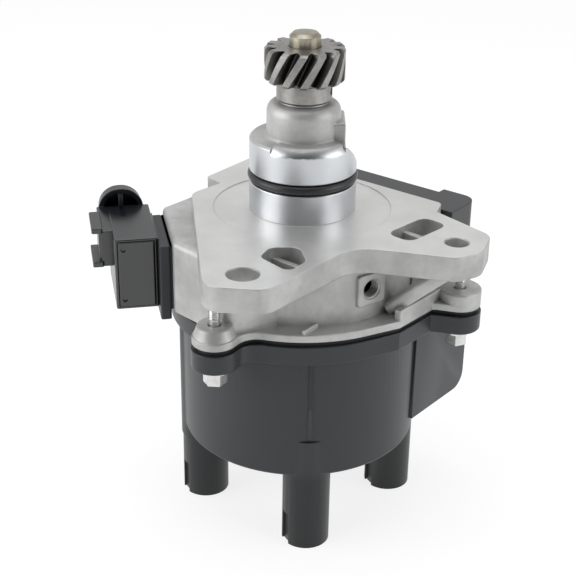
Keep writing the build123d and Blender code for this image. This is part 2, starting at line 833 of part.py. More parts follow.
def cap():
    """Moulded cap: rim, drum, coil section and four lead towers with their sockets."""
    body = slab(joint_outline(cap_rim_radius, cap_rim_ear_radius), cap_rim_bottom, cap_top)
    drum = cyl(cap_drum_radius, cap_bottom, cap_top)
    drum = fillet(drum.edges().sort_by(Axis.Z)[0], cap_edge_round)
    section = coil_place * block((coil_u_low, coil_u_high), (coil_flat_start, coil_v_back),
                                 (cap_coil_bottom, cap_top))
    ends = section.edges().group_by(Axis.Z)[0]
    back_bottom = [edge for edge in ends if is_coil_back(edge)]
    section = fillet(back_bottom, cap_coil_corner)
    body = body + drum + section
    for i, angle in enumerate(tower_places()):
        x, y = polar(tower_pitch, angle)
        body += cyl(tower_radius, tower_end, tower_boss_top, x, y)
    x, y = polar(tower_pitch, tower_first_angle)
    body += cyl(tower_boss_radius, cap_bottom - 6, cap_top, x, y)
    hollow = cyl(cap_drum_radius - cap_wall, cavity_floor, cap_top + 1)
    body -= hollow
    body -= coil_bay(cap_wall, coil_bay_floor, cap_top + 1, cap_drum_radius)
    body += cyl(centre_boss_radius, cavity_floor - 1, cavity_floor + centre_boss_height)
    for angle in tower_places():
        x, y = polar(tower_pitch, angle)
        body += cyl(terminal_radius + 2.0, cavity_floor - 1, cavity_floor + 6.0, x, y) & hollow
        body -= cyl(tower_socket_radius, tower_end - 1, tower_end + tower_socket_depth, x, y)
        body -= cyl(terminal_radius + seat_clearance, tower_end, cavity_floor + 10, x, y)
        body -= Pos(x, y, 0) * tower_notch()
    body -= cyl(brush_radius + brush_clearance, cavity_floor, cavity_floor + centre_boss_height + 1)
    body -= centre_strip()
    body -= coil_place * cyl(coil_terminal_radius + seat_clearance, strip_end_top, cap_top,
                             coil_tower_u, coil_tower_v)
    for x, y in cap_ears():
        body -= cyl(cap_screw_radius + seat_clearance, cap_rim_bottom - 1, cap_top + 1, x, y)
    return body


def is_coil_back(edge):
    """True for the lower back edge of the cap's coil section."""
    middle = edge.center()
    v = -sin(radians(coil_yaw)) * middle.X + cos(radians(coil_yaw)) * middle.Y
    return v > coil_v_back - 1


def tower_notch():
    """Locating notch in the end of a tower."""
    notch = block((tower_radius - tower_notch_depth, tower_radius + 2),
                  (-tower_notch_width / 2, tower_notch_width / 2),
                  (tower_end - 1, tower_end + tower_notch_height))
    return Rot(0, 0, tower_notch_angle) * notch


def centre_strip():
    """Conductor moulded in the cap: along its floor, up the drum's wall and under the coil's tower."""
    foot = cyl(brush_radius, cavity_floor - strip_depth, cavity_floor)
    side = (-strip_width / 2, strip_width / 2)
    wall_middle = cap_drum_radius - cap_wall / 2
    run = hypot(coil_tower_u, coil_tower_v)
    strip = block((0, wall_middle), side, (cavity_floor - strip_depth, cavity_floor - strip_cover))
    strip += block((wall_middle - 1, wall_middle + 1), side, (cavity_floor - strip_depth, strip_end_top))
    strip += block((wall_middle, run), side, (strip_end_bottom, strip_end_top))
    strip += cyl(strip_width / 2, strip_end_bottom, strip_end_top, run)
    return coil_place * Rot(0, 0, degrees(atan2(coil_tower_v, coil_tower_u))) * strip + foot


def cap_terminals():
    """Metal inserts from the sockets up to the path of the rotor blade."""
    rods = []
    for angle in tower_places():
        x, y = polar(tower_pitch, angle)
        rods.append(cyl(terminal_radius, tower_end + tower_socket_depth, terminal_top, x, y))
    return Compound(rods)


def carbon_brush():
    body = cyl(brush_radius, brush_top - brush_length, brush_top)
    return chamfer(body.edges().sort_by(Axis.Z)[-1], 0.4)


def brush_spring():
    """Coil spring under the brush."""
    height = brush_top - brush_length - cavity_floor - spring_wire
    path = Helix(pitch=height / spring_turns, height=height, radius=brush_radius - spring_wire)
    start = Plane(origin=path @ 0, z_dir=path % 0)
    wire = sweep(start * Circle(spring_wire / 2), path=path, is_frenet=True)
    return Pos(0, 0, cavity_floor + spring_wire / 2) * wire


def rotor_arm():
    """Moulded arm on the end of the shaft, balanced by a stub behind."""
    top_of_blade = rotor_blade_underside + rotor_blade_thickness
    body = cyl(rotor_hub_radius, top_of_blade, rotor_top)
    body = chamfer(body.edges().sort_by(Axis.Z)[-1], 1.0)
    reach = blade_reach - 2.5
    arm = slab(make_face(Polyline((-16.0, -5.0), (0, -rotor_arm_width / 2), (reach, -rotor_blade_width / 2),
                                  (reach, rotor_blade_width / 2), (0, rotor_arm_width / 2),
                                  (-16.0, 5.0), close=True)),
               top_of_blade, top_of_blade + rotor_arm_depth)
    body += arm
    bore = cyl(shaft_radius + seat_clearance, shaft_bottom - 0.2, rotor_top + 1)
    bore -= rotor_key(shaft_radius + 1, seat_clearance)
    body -= bore
    return body - rotor_screw_bar(rotor_screw_radius + seat_clearance, rotor_hub_radius + 1)


def rotor_screw_bar(radius, reach):
    height = (rotor_top + shaft_bottom) / 2 + 1.0
    return rod((-rotor_key_flat - seat_clearance, 0, height), (-reach, 0, height), radius)


def rotor_screw():
    """Set screw that bears on the flat of the shaft."""
    return rotor_screw_bar(rotor_screw_radius, rotor_hub_radius - 0.5)


def rotor_blade():
    """Brass blade from the brush to the rotor's tip."""
    half = rotor_blade_width / 2
    outline = make_face(Polyline((-6.0, -half), (blade_reach - 2.0, -half), (blade_reach, -half + 2.0),
                                 (blade_reach, half - 2.0), (blade_reach - 2.0, half), (-6.0, half),
                                 close=True))
    return slab(outline, rotor_blade_underside, rotor_blade_underside + rotor_blade_thickness)


def cap_screws():
    """Hexagon flange screws with a driver slot, up through the cap's ears."""
    screws = []
    for x, y in cap_ears():
        bottom = cap_rim_bottom - cap_screw_head
        screw = cyl(cap_screw_flange, cap_rim_bottom - 1.1, cap_rim_bottom, x, y)
        hexagon = Pos(x, y) * RegularPolygon(cap_screw_hex / 2, 6, major_radius=False)
        screw += slab(hexagon, bottom, cap_rim_bottom - 1.0)
        screw += cyl(cap_screw_radius, cap_rim_bottom, rim_bottom + cap_ear_height + cap_screw_tip, x, y)
        slot = block((x - 8, x + 8), (y - 0.6, y + 0.6), (bottom - 1, bottom + 1.4))
        screws.append(screw - slot)
    return Compound(screws)


def coil_case():
    """Moulded coil on the housing's flat back, with its tower down into the cap."""
    body = block((coil_u_low, coil_end_start), (coil_v_front, coil_v_back), (rim_top, coil_top))
    end = block((coil_end_start, coil_u_high), (coil_v_front, coil_v_back + coil_end_back),
                (rim_top, coil_top + coil_end_raise))
    corner = end.edges().filter_by(Axis.Z).sort_by(Axis.Y)[-2:].sort_by(Axis.X)[-1]
    end = fillet(corner, coil_corner)
    left = body.edges().filter_by(Axis.Z).sort_by(Axis.Y)[-2:].sort_by(Axis.X)[0]
    body = fillet(left, coil_corner - 2.0) + end
    body += cyl(coil_tower_radius, coil_tower_bottom, rim_top, coil_tower_u, coil_tower_v)
    body -= cyl(coil_terminal_radius + seat_clearance, coil_tower_bottom - 1,
                coil_tower_bottom + 12, coil_tower_u, coil_tower_v)
    body -= core_shape()
    for u in coil_screw_places:
        body -= rod((u, coil_v_back + 3, coil_screw_height), (u, coil_v_front - 1, coil_screw_height),
                    coil_screw_radius + seat_clearance)
        body -= rod((u, coil_v_back + 3, coil_screw_height),
                    (u, coil_v_back - 4, coil_screw_height), small_screw_head + 1.6)
    return coil_place * body


def core_shape():
    """Laminated iron core: a bar across the back with three legs."""
    middle = core_bar_centre
    low, high = middle - core_bar_length / 2, middle + core_bar_length / 2
    z = (coil_screw_height - core_bar_height / 2, coil_screw_height + core_bar_height / 2)
    back = coil_v_back - core_bar_depth
    core = block((low, high), (back, coil_v_back), z)
    for start in (low, middle - 4.0, high - 8.0):
        core += block((start, start + 8.0), (back - core_leg_length, back), z)
    return core


def coil_core():
    return coil_place * core_shape()


def coil_terminal():
    """Spring contact from the coil's tower down to the conductor in the cap."""
    top = coil_tower_bottom + 12
    return coil_place * cyl(coil_terminal_radius, strip_end_top, top, coil_tower_u, coil_tower_v)


def coil_screws():
    screws = []
    for u in coil_screw_places:
        seat = coil_v_back - 4
        screw = rod((u, seat, coil_screw_height), (u, coil_v_front - 8.5, coil_screw_height),
                    coil_screw_radius)
        screw += rod((u, seat + 3.4, coil_screw_height), (u, seat, coil_screw_height),
                     small_screw_head + 1.0)
        screws.append(coil_place * screw)
    return Compound(screws)


def module_gasket():
    """Flat gasket between the chamber's wall and the igniter's plate."""
    body = block((wall_distance, plate_start), (plate_back, plate_front), (chamber_bottom, plate_top))
    body -= block((wall_distance - 1, plate_start + 1),
                  (-window_length / 2, window_length / 2),
                  (window_centre - window_height / 2, window_centre + window_height / 2))
    for y, z in module_screw_places():
        body -= rod((wall_distance - 1, y, z), (plate_start + 1, y, z), plate_screw_radius + piece_gap)
    return wall_place * body


def module_plate():
    """Mounting plate of the igniter, with a boss for the pickup leads through the window."""
    body = block((plate_start, case_start), (plate_back, plate_front), (plate_bottom, plate_top))
    body = fillet(body.edges().filter_by(Axis.X), 1.5)
    half_length = window_length / 2 - piece_gap
    half_height = window_height / 2 - piece_gap
    boss = block((plate_start - plate_boss_reach, plate_start), (-half_length, half_length),
                 (window_centre - half_height, window_centre + half_height))
    body += fillet(boss.edges().filter_by(Axis.X), 1.5)
    for y, z in module_screw_places():
        body -= rod((plate_start - 1, y, z), (case_start - 0.5, y, z),
                    plate_screw_radius + seat_clearance)
    return wall_place * body


def module_screws():
    """Screws from inside the chamber into the igniter's plate."""
    seat = wall_distance - chamber_wall
    screws = []
    for y, z in module_screw_places():
        screw = rod((seat, y, z), (case_start - 0.6, y, z), plate_screw_radius)
        screw += rod((seat - plate_screw_head_height, y, z), (seat, y, z), plate_screw_head)
        screws.append(wall_place * screw)
    return Compound(screws)


def igniter_case():
    """Black moulded case of the igniter."""
    body = block((case_start, case_end), (case_back, case_front), (case_bottom, case_top))
    body = fillet(body.edges().filter_by(Axis.Z), 0.8)
    body -= cover_block(seat_clearance)
    return wall_place * body


def cover_block(grow=0.0):
    """Room of the cover in the front of the case, or the cover itself."""
    return block((case_start + cover_inset - grow, case_end - cover_inset + grow),
                 (case_front - cover_thickness - grow, case_front + cover_stand_out),
                 (case_bottom + cover_inset - grow, case_top - cover_inset + grow))


def igniter_cover():
    """Cover over the potted circuit, with two moulding dimples."""
    body = cover_block()
    front = case_front + cover_stand_out
    for z in (case_bottom + 3.2, case_top - 3.2):
        body -= rod((case_end - 3.2, front - 0.7, z), (case_end - 3.2, front + 1, z), cover_dimple)
    return wall_place * body


def socket_outline(inset):
    """D-shaped outline of the socket, seen along the wall: x outward, z up."""
    radius = socket_radius - inset
    low = socket_bottom + inset
    corner = socket_corner - inset / 2
    path = [
        ThreePointArc((socket_centre - radius, case_top), (socket_centre, case_top + radius),
                      (socket_centre + radius, case_top)),
        Line((socket_centre + radius, case_top), (socket_centre + radius, low)),
        Line((socket_centre + radius, low), (socket_centre - radius, low)),
        Line((socket_centre - radius, low), (socket_centre - radius, case_top)),
    ]
    face = make_face(path)
    lower = face.vertices().sort_by(Axis.Y)[:2]
    return fillet(lower, corner)


def along_wall(outline, front, back):
    """Outline in the wall's x and z, drawn from one place along the wall to another."""
    return extrude(Plane(origin=(0, front, 0), x_dir=(1, 0, 0), z_dir=(0, -1, 0)) * outline, front - back)


def connector_socket():
    """Socket on the back of the case, open to the rear, with its hood and two guide rails."""
    end = case_back - socket_length
    body = along_wall(socket_outline(0), case_back, end)
    body -= along_wall(socket_outline(socket_wall), case_back + 1, case_back - socket_pocket)
    body -= along_wall(socket_outline(socket_wall), case_back - socket_pocket - socket_base, end - 1)
    rib_top = case_top + socket_radius - socket_wall / 2
    body += block((socket_centre - rib_width / 2, socket_centre + rib_width / 2),
                  (case_back - socket_pocket - 0.5, case_back), (case_top - 6, rib_top))
    plate = block((case_end, case_end + rail_plate_thickness), (case_back, rail_plate_front),
                  (socket_bottom, rail_tops[0]))
    body += plate
    for top in rail_tops:
        rail = block((case_end + rail_plate_thickness, rail_reach), (rail_back, rail_front),
                     (top - rail_thickness, top))
        body += fillet(rail.edges().filter_by(Axis.Z).sort_by(Axis.X)[-2:], 1.0)
    return wall_place * body


def connector_terminals():
    """Square pins in the floor of the socket."""
    root = case_back - socket_pocket - socket_base
    half = pin_size / 2
    pins = []
    for x in pin_columns:
        for z in pin_rows:
            pin = block((socket_centre + x - half, socket_centre + x + half),
                        (root - pin_length, root), (z - half, z + half))
            pins.append(wall_place * pin)
    return Compound(pins)


def build():
    """Every piece by the name of its file."""
    return {
        "housing": housing(),
        "pilot_o_ring": pilot_o_ring(),
        "drive_gear": drive_gear(),
        "gear_pin": gear_pin(),
        "thrust_washer": thrust_washer(),
        "shaft": shaft(),
        "nose_bush": nose_bush(),
        "shaft_oil_seal": shaft_oil_seal(),
        "bearing_outer_race": bearing_outer_race(),
        "bearing_balls": bearing_balls(),
        "bearing_cage": bearing_cage(),
        "bearing_inner_race": bearing_inner_race(),
        "bearing_retainer": bearing_retainer(),
        "retainer_screws": retainer_screws(),
        "speed_wheel": speed_wheel(),
        "cylinder_wheel": cylinder_wheel(),
        "pickup_poles": pickup_poles(),
        "speed_pickup_coil": pickup_coil(0),
        "cylinder_pickup_coil": pickup_coil(1),
        "pickup_screws": pickup_screws(),
        "dust_cover": dust_cover(),
        "cap_gasket": cap_gasket(),
        "cap": cap(),
        "cap_terminals": cap_terminals(),
        "centre_conductor": centre_strip(),
        "carbon_brush": carbon_brush(),
        "brush_spring": brush_spring(),
        "rotor_arm": rotor_arm(),
        "rotor_blade": rotor_blade(),
        "rotor_screw": rotor_screw(),
        "cap_screws": cap_screws(),
        "coil_case": coil_case(),
        "coil_core": coil_core(),
        "coil_terminal": coil_terminal(),
        "coil_screws": coil_screws(),
        "module_gasket": module_gasket(),
        "module_plate": module_plate(),
        "module_screws": module_screws(),
        "igniter_case": igniter_case(),
        "igniter_cover": igniter_cover(),
        "connector_socket": connector_socket(),
        "connector_terminals": connector_terminals(),
    }


os.makedirs("parts", exist_ok=True)
for name, piece in build().items():
    export_step(piece, f"parts/{name}.step")
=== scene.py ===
from math import atan2, ceil, cos, pi, radians, sin, sqrt, tan

import bmesh
import bpy
from mathutils import Matrix, Vector


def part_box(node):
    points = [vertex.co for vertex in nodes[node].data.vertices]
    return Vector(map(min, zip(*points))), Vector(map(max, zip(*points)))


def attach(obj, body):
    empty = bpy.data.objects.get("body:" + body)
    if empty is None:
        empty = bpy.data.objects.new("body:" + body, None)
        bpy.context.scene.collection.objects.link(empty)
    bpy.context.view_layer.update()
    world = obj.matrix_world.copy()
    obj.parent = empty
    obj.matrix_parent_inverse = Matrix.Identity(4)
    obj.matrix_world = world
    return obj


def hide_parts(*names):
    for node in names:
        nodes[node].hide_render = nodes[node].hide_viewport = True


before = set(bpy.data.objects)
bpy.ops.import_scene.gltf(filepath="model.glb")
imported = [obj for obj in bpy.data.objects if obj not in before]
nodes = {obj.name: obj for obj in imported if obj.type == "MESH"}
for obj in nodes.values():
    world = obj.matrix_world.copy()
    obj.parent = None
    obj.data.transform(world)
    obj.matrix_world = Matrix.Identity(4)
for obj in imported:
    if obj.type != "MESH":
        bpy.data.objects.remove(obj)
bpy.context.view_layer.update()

MM = 0.001
SHARP_FROM = radians(32)


# Camera: a long lens at half a metre, looking down on the part at about 25 degrees, with the small
# ear to the right and the igniter to the left. The lens gives the photograph's frame.
camera_place = Vector((-5.097, -473.706, 189.868)) * MM
camera_right = Vector((0.9998889, 0.0064268, 0.0134490))
camera_up = Vector((-0.0149057, 0.4311172, 0.9021728))
camera_data = bpy.data.cameras.new("camera")
camera_data.lens = 80.24
camera_data.sensor_width = 36.0
camera_data.clip_start = 0.01
camera = bpy.data.objects.new("camera", camera_data)
bpy.context.scene.collection.objects.link(camera)
turn = Matrix((camera_right, camera_up, camera_right.cross(camera_up))).transposed().to_4x4()
camera.matrix_world = Matrix.Translation(camera_place) @ turn
bpy.context.scene.camera = camera
bpy.context.scene.view_settings.view_transform = "Standard"


# Studio: a white floor under the four lead towers, three large soft lamps and a pale room. The room
# and the floor look white to the eye and to metal, while the lamps give the object its shading.
class Reading:
    """A socket that varies over a surface. Arithmetic on it adds Math nodes."""

    def __init__(self, finish, socket):
        self.finish = finish
        self.socket = socket

    def math(self, operation, *values):
        return self.finish.node("ShaderNodeMath", {"operation": operation}, dict(enumerate(values)))

    def __add__(self, other):
        return self.math("ADD", self, other)

    def __sub__(self, other):
        return self.math("SUBTRACT", self, other)

    def __rsub__(self, other):
        return self.math("SUBTRACT", other, self)

    def __mul__(self, other):
        return self.math("MULTIPLY", self, other)

    def __gt__(self, other):
        return self.math("GREATER_THAN", self, other)

    def __lt__(self, other):
        return self.math("LESS_THAN", self, other)

    __radd__ = __add__
    __rmul__ = __mul__

    def between(self, low, high):
        """0 below low, 1 above high and a smooth step between them; low may be the larger."""
        return self.finish.node("ShaderNodeMapRange", {"interpolation_type": "SMOOTHSTEP"},
                                {"Value": self, "From Min": low, "From Max": high})


class Finish:
    """A material in the making: node() adds a node and gives one of its outputs."""

    def __init__(self, name, tree=None):
        if tree is None:
            self.material = bpy.data.materials.new(name)
            self.material.use_nodes = True
            tree = self.material.node_tree
        self.tree = tree
        self.shader = tree.nodes.get("Principled BSDF")

    def node(self, kind, settings=None, sockets=None, output=0):
        """Adds a node with its settings and what feeds its sockets."""
        made = self.tree.nodes.new(kind)
        for key, value in (settings or {}).items():
            setattr(made, key, value)
        for key, value in (sockets or {}).items():
            self.feed(made.inputs[key], value)
        return Reading(self, made.outputs[output])

    def feed(self, socket, value):
        """Links a reading to a socket, or sets the socket to a value or colour."""
        if isinstance(value, Reading):
            self.tree.links.new(value.socket, socket)
        elif isinstance(value, (tuple, list)) and socket.type == "RGBA":
            socket.default_value = (*value, 1.0)
        else:
            socket.default_value = value

    def set(self, **sockets):
        """Sets sockets of the Principled shader by name, with _ for a space."""
        for key, value in sockets.items():
            self.feed(self.shader.inputs[key.replace("_", " ")], value)
        return self.material

    def place(self):
        """Place on the piece, in metres."""
        return self.node("ShaderNodeTexCoord", output="Object")

    def split(self, vector):
        made = self.node("ShaderNodeSeparateXYZ", sockets={0: vector})
        return [Reading(self, made.socket.node.outputs[i]) for i in range(3)]

    def from_axis(self):
        """Distance from the shaft's axis, and height."""
        x, y, z = self.split(self.place())
        across = self.node("ShaderNodeCombineXYZ", sockets={0: x, 1: y})
        radius = self.node("ShaderNodeVectorMath", {"operation": "LENGTH"}, {0: across}, output="Value")
        return radius, z

    def noise(self, scale, detail=3.0, roughness=0.5, stretch=(1, 1, 1)):
        """Noise of about one blob to each 1/scale metres, squeezed along each axis by stretch."""
        where = self.node("ShaderNodeVectorMath", {"operation": "MULTIPLY"},
                          {0: self.place(), 1: stretch})
        return self.node("ShaderNodeTexNoise", sockets={
            "Vector": where, "Scale": scale, "Detail": detail, "Roughness": roughness})

    def blend(self, share, first, second):
        """Colour between two colours."""
        return self.node("ShaderNodeMix", {"data_type": "RGBA"},
                         {0: share, 6: first, 7: second}, output=2)

    def bump(self, height, distance, strength=1.0, normal=None):
        """Normal of a fine relief, laid over another normal."""
        sockets = {"Height": height, "Distance": distance, "Strength": strength}
        if normal:
            sockets["Normal"] = normal
        return self.node("ShaderNodeBump", sockets=sockets)

    def soft_edge(self, radius):
        """Normal that rounds the edges of a piece over a small radius."""
        return self.node("ShaderNodeBevel", {"samples": 6}, {"Radius": radius})


floor_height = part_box("cap")[0].z
floor_size = 6.0
floor_mesh = bpy.data.meshes.new("floor")
half = floor_size / 2
floor_mesh.from_pydata([(-half, -half, floor_height), (half, -half, floor_height),
                        (half, half, floor_height), (-half, half, floor_height)], [], [(0, 1, 2, 3)])
floor = bpy.data.objects.new("floor", floor_mesh)
bpy.context.scene.collection.objects.link(floor)
floor_look = Finish("studio_floor")
seen = floor_look.node("ShaderNodeLightPath", output="Is Camera Ray")
mirrored = floor_look.node("ShaderNodeLightPath", output="Is Glossy Ray")
paper = floor_look.node("ShaderNodeBsdfDiffuse", sockets={"Color": (0.88, 0.88, 0.88)})
glow = floor_look.node("ShaderNodeEmission", sockets={"Color": (1, 1, 1), "Strength": 1.12})
mixed = floor_look.node("ShaderNodeMixShader", sockets={0: seen * 0.72 + mirrored * 0.55, 1: paper,
                                                        2: glow})
floor_look.feed(floor_look.tree.nodes["Material Output"].inputs["Surface"], mixed)
floor_mesh.materials.append(floor_look.material)

world = bpy.data.worlds.new("room")
bpy.context.scene.world = world
world.use_nodes = True
room = Finish("room", world.node_tree)
seen = room.node("ShaderNodeLightPath", output="Is Camera Ray")
behind = room.split(room.node("ShaderNodeTexCoord", output="Generated"))[1]
front_light = 0.07
back_light = 0.70
room_light = behind.between(-0.9, 0.3) * (back_light - front_light) + front_light
room.feed(world.node_tree.nodes["Background"].inputs["Color"], (1, 1, 1))
room.feed(world.node_tree.nodes["Background"].inputs["Strength"],
          seen + (1 - seen) * room_light)


def soft_lamp(name, place, size, power):
    """Square lamp aimed at the middle of the part."""
    lamp = bpy.data.lights.new(name, "AREA")
    lamp.shape = "RECTANGLE"
    lamp.size, lamp.size_y = size
    lamp.energy = power
    held = bpy.data.objects.new(name, lamp)
    bpy.context.scene.collection.objects.link(held)
    aim = Vector((0, 0, -0.03)) - Vector(place)
    held.matrix_world = (Matrix.Translation(place)
                         @ aim.to_track_quat("-Z", "Y").to_matrix().to_4x4())


soft_lamp("top_lamp", (-0.05, 0.05, 1.0), (0.9, 0.9), 4.5)
soft_lamp("left_lamp", (-0.90, -0.30, 0.25), (0.8, 0.9), 6.0)
soft_lamp("right_lamp", (0.90, -0.38, 0.20), (0.7, 0.9), 4.0)


# Housing: one aluminium die casting. The pilot and its groove are turned, the flange's face is
# milled flat, and the rest keeps the fine, slightly mottled skin of the die. Its forms are drawn in
# millimetres as outlines, turned profiles and bars, which the exact solver joins and cuts.
def polar(radius, angle):
    """Place in the plan, from the distance to the shaft's axis and an angle in degrees."""
    return radius * cos(radians(angle)), radius * sin(radians(angle))


def round_outline(corners, inset=0.0):
    """Closed outline from (x, y, corner radius), moved inwards by inset."""
    area = sum(a[0] * b[1] - b[0] * a[1] for a, b in zip(corners, corners[1:] + corners[:1]))
    if area < 0:
        corners = corners[::-1]
    points = []
    for i, (x, y, radius) in enumerate(corners):
        here = Vector((x, y))
        came = (here - Vector(corners[i - 1][:2])).normalized()
        goes = (Vector(corners[(i + 1) % len(corners)][:2]) - here).normalized()
        turn = atan2(came.x * goes.y - came.y * goes.x, came.dot(goes))
        side, next_side = Vector((-came.y, came.x)), Vector((-goes.y, goes.x))
        here += (side + next_side) * (inset / (1 + side.dot(next_side)))
        radius = max(radius - inset, 0.05) if turn > 0 else radius + inset
        start = here - came * (radius * tan(abs(turn) / 2))
        centre = start + side * (radius if turn > 0 else -radius)
        steps = max(2, ceil(abs(turn) / radians(9)))
        for k in range(steps + 1):
            points.append(centre + Matrix.Rotation(turn * k / steps, 2) @ (start - centre))
    return [tuple(point) for point in points]


def disc(radius, steps=96):
    """Round outline that can be inset."""
    return lambda inset: [((radius - inset) * cos(2 * pi * i / steps),
                           (radius - inset) * sin(2 * pi * i / steps)) for i in range(steps)]


def loft(rings):
    """Closed mesh through rings of as many points each, with the first and the last filled."""
    mesh = bmesh.new()
    rows = [[mesh.verts.new(point) for point in ring] for ring in rings]
    for low, high in zip(rows, rows[1:]):
        for i in range(len(low)):
            j = (i + 1) % len(low)
            mesh.faces.new((low[i], low[j], high[j], high[i]))
    mesh.faces.new(rows[0][::-1])
    mesh.faces.new(rows[-1])
    bmesh.ops.recalc_face_normals(mesh, faces=mesh.faces)
    return mesh


def prism(shape, low, high, top=0.0, foot=0.0, steps=3):
    """Upright prism of an outline that can be inset, with its upper and lower edges rounded."""
    levels = []
    for i in range(steps if foot else 0):
        turn = pi / 2 * i / steps
        levels.append((foot * (1 - sin(turn)), low + foot * (1 - cos(turn))))
    levels += [(0.0, low + foot), (0.0, high - top)]
    for i in range(1, steps + 1 if top else 0):
        turn = pi / 2 * i / steps
        levels.append((top * (1 - cos(turn)), high - top + top * sin(turn)))
    return loft([[(x, y, z) for x, y in shape(inset)] for inset, z in levels])


def slab(corners, low, high, top=0.0, foot=0.0, steps=3):
    """Prism of an outline that is given by its corners and their radii."""
    return prism(lambda inset: round_outline(corners, inset), low, high, top, foot, steps)


def rectangle(x, y, corner):
    """Corners of a rectangle between pairs of limits."""
    return [(x[0], y[0], corner), (x[1], y[0], corner), (x[1], y[1], corner), (x[0], y[1], corner)]


def block(x, y, z, corner=0.05, top=0.0, foot=0.0):
    """Box between pairs of limits, with its upright corners and its edges rounded."""
    return slab(rectangle(x, y, corner), *z, top, foot)


def turned(profile, steps=128, x=0.0, y=0.0):
    """Turned solid from (radius, height) points, from its lower end to its upper one."""
    return loft([[(x + radius * cos(2 * pi * i / steps), y + radius * sin(2 * pi * i / steps), z)
                  for i in range(steps)] for radius, z in profile])


def quarter(radius, height, run, rise, steps=6):
    """Points of a rounded shoulder that leaves (radius, height) upwards and turns inwards."""
    turns = [pi / 2 * i / steps for i in range(steps + 1)]
    return [(radius - run + run * cos(turn), height + rise * sin(turn)) for turn in turns]


def placed(mesh, matrix):
    """The mesh moved by a matrix, with its faces outwards."""
    bmesh.ops.transform(mesh, matrix=matrix, verts=mesh.verts)
    bmesh.ops.recalc_face_normals(mesh, faces=mesh.faces)
    return mesh


def bar(start, end, radius, steps=48):
    """Round bar from one point to another."""
    along = Vector(end) - Vector(start)
    aim = along.to_track_quat("Z", "Y").to_matrix().to_4x4()
    rod = turned([(radius, 0.0), (radius, along.length)], steps)
    return placed(rod, Matrix.Translation(start) @ aim)


def about_z(angle):
    """Turn about the shaft's axis, in degrees."""
    return Matrix.Rotation(radians(angle), 4, "Z")


def holes(places, profile, steps=32):
    """The same turned tool at several places of the plan."""
    return [turned(profile, steps, x, y) for x, y in places]


def combine(operation, body, *tools):
    """Body with the tools joined to it (UNION) or cut from it (DIFFERENCE)."""
    group = bpy.data.collections.new("tools")
    bpy.context.scene.collection.children.link(group)
    held = []
    for mesh in (body, *tools):
        data = bpy.data.meshes.new("tool")
        mesh.to_mesh(data)
        held.append(bpy.data.objects.new("tool", data))
        mesh.free()
    bpy.context.scene.collection.objects.link(held[0])
    for tool in held[1:]:
        group.objects.link(tool)
    change = held[0].modifiers.new("change", "BOOLEAN")
    change.operand_type = "COLLECTION"
    change.collection = group
    change.operation = operation
    change.solver = "EXACT"
    graph = bpy.context.evaluated_depsgraph_get()
    made = bmesh.new()
    made.from_mesh(held[0].evaluated_get(graph).to_mesh())
    for tool in held:
        bpy.data.objects.remove(tool)
    bpy.data.collections.remove(group)
    bmesh.ops.remove_doubles(made, verts=made.verts, dist=1e-4)
    return made


def in_millimetres(node):
    """Copy of a CAD node's mesh, in millimetres and with its vertices merged."""
    mesh = bmesh.new()
    mesh.from_mesh(nodes[node].data)
    bmesh.ops.transform(mesh, matrix=Matrix.Scale(1 / MM, 4), verts=mesh.verts)
    bmesh.ops.remove_doubles(mesh, verts=mesh.verts, dist=1e-3)
    return mesh


def finished(name, mesh, material, node, body="root"):
    """The piece in metres, smooth between its edges, riding on its body in place of a CAD node."""
    bmesh.ops.scale(mesh, vec=(MM, MM, MM), verts=mesh.verts)
    data = bpy.data.meshes.new(name)
    mesh.to_mesh(data)
    mesh.free()
    data.shade_smooth()
    data.set_sharp_from_angle(angle=SHARP_FROM)
    data.materials.append(material)
    held = bpy.data.objects.new(name, data)
    bpy.context.scene.collection.objects.link(held)
    normals = held.modifiers.new("normals", "WEIGHTED_NORMAL")
    normals.keep_sharp = True
    graph = bpy.context.evaluated_depsgraph_get()
    even = bpy.data.meshes.new_from_object(held.evaluated_get(graph), preserve_all_data_layers=True,
                                           depsgraph=graph)
    held.modifiers.clear()
    held.data = even
    bpy.data.meshes.remove(data)
    even.name = name
    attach(held, body)
    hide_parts(node)
    material.name.split(".")[0]


def alloy_casting():
    """Mottled skin of the die, milled on the flange's face and turned on the pilot."""
    look = Finish("cast_alloy")
    radius, z = look.from_axis()
    facing_up = look.split(look.node("ShaderNodeNewGeometry", output="Normal"))[2]
    lathed = radius.between(21.6 * MM, 21.2 * MM) * (z > 0.0) * (z < 29.2 * MM)
    milled = facing_up.between(0.9, 0.99) * (z > -0.6 * MM) * (z < 0.5 * MM)
    cloud = look.noise(45.0, 4.0, 0.6)
    grain = look.noise(1600.0, 2.0, 0.7)
    blotch = look.noise(210.0, 5.0, 0.7)
    skin = look.blend(cloud.between(0.35, 0.65), (0.40, 0.40, 0.395), (0.55, 0.55, 0.545))
    skin = look.blend(blotch.between(0.5, 0.75) * 0.35, skin, (0.34, 0.34, 0.335))
    face = look.blend(cloud.between(0.3, 0.7), (0.68, 0.68, 0.67), (0.76, 0.76, 0.75))
    bright = (0.62, 0.64, 0.66)
    colour = look.blend(milled, skin, face)
    colour = look.blend(lathed, colour, bright)
    rings = look.noise(900.0, 2.0, 0.6, stretch=(0.02, 0.02, 4.0))
    height = grain * (1 - lathed) * 0.6 + rings * lathed * 0.5
    return look.set(
        Base_Color=colour,
        Metallic=0.55 + 0.2 * milled + 0.45 * lathed,
        Roughness=0.48 - 0.10 * milled - 0.16 * lathed + 0.10 * (cloud - 0.5),
        Normal=look.bump(height, 0.035 * MM, 0.6, look.soft_edge(0.5 * MM)))


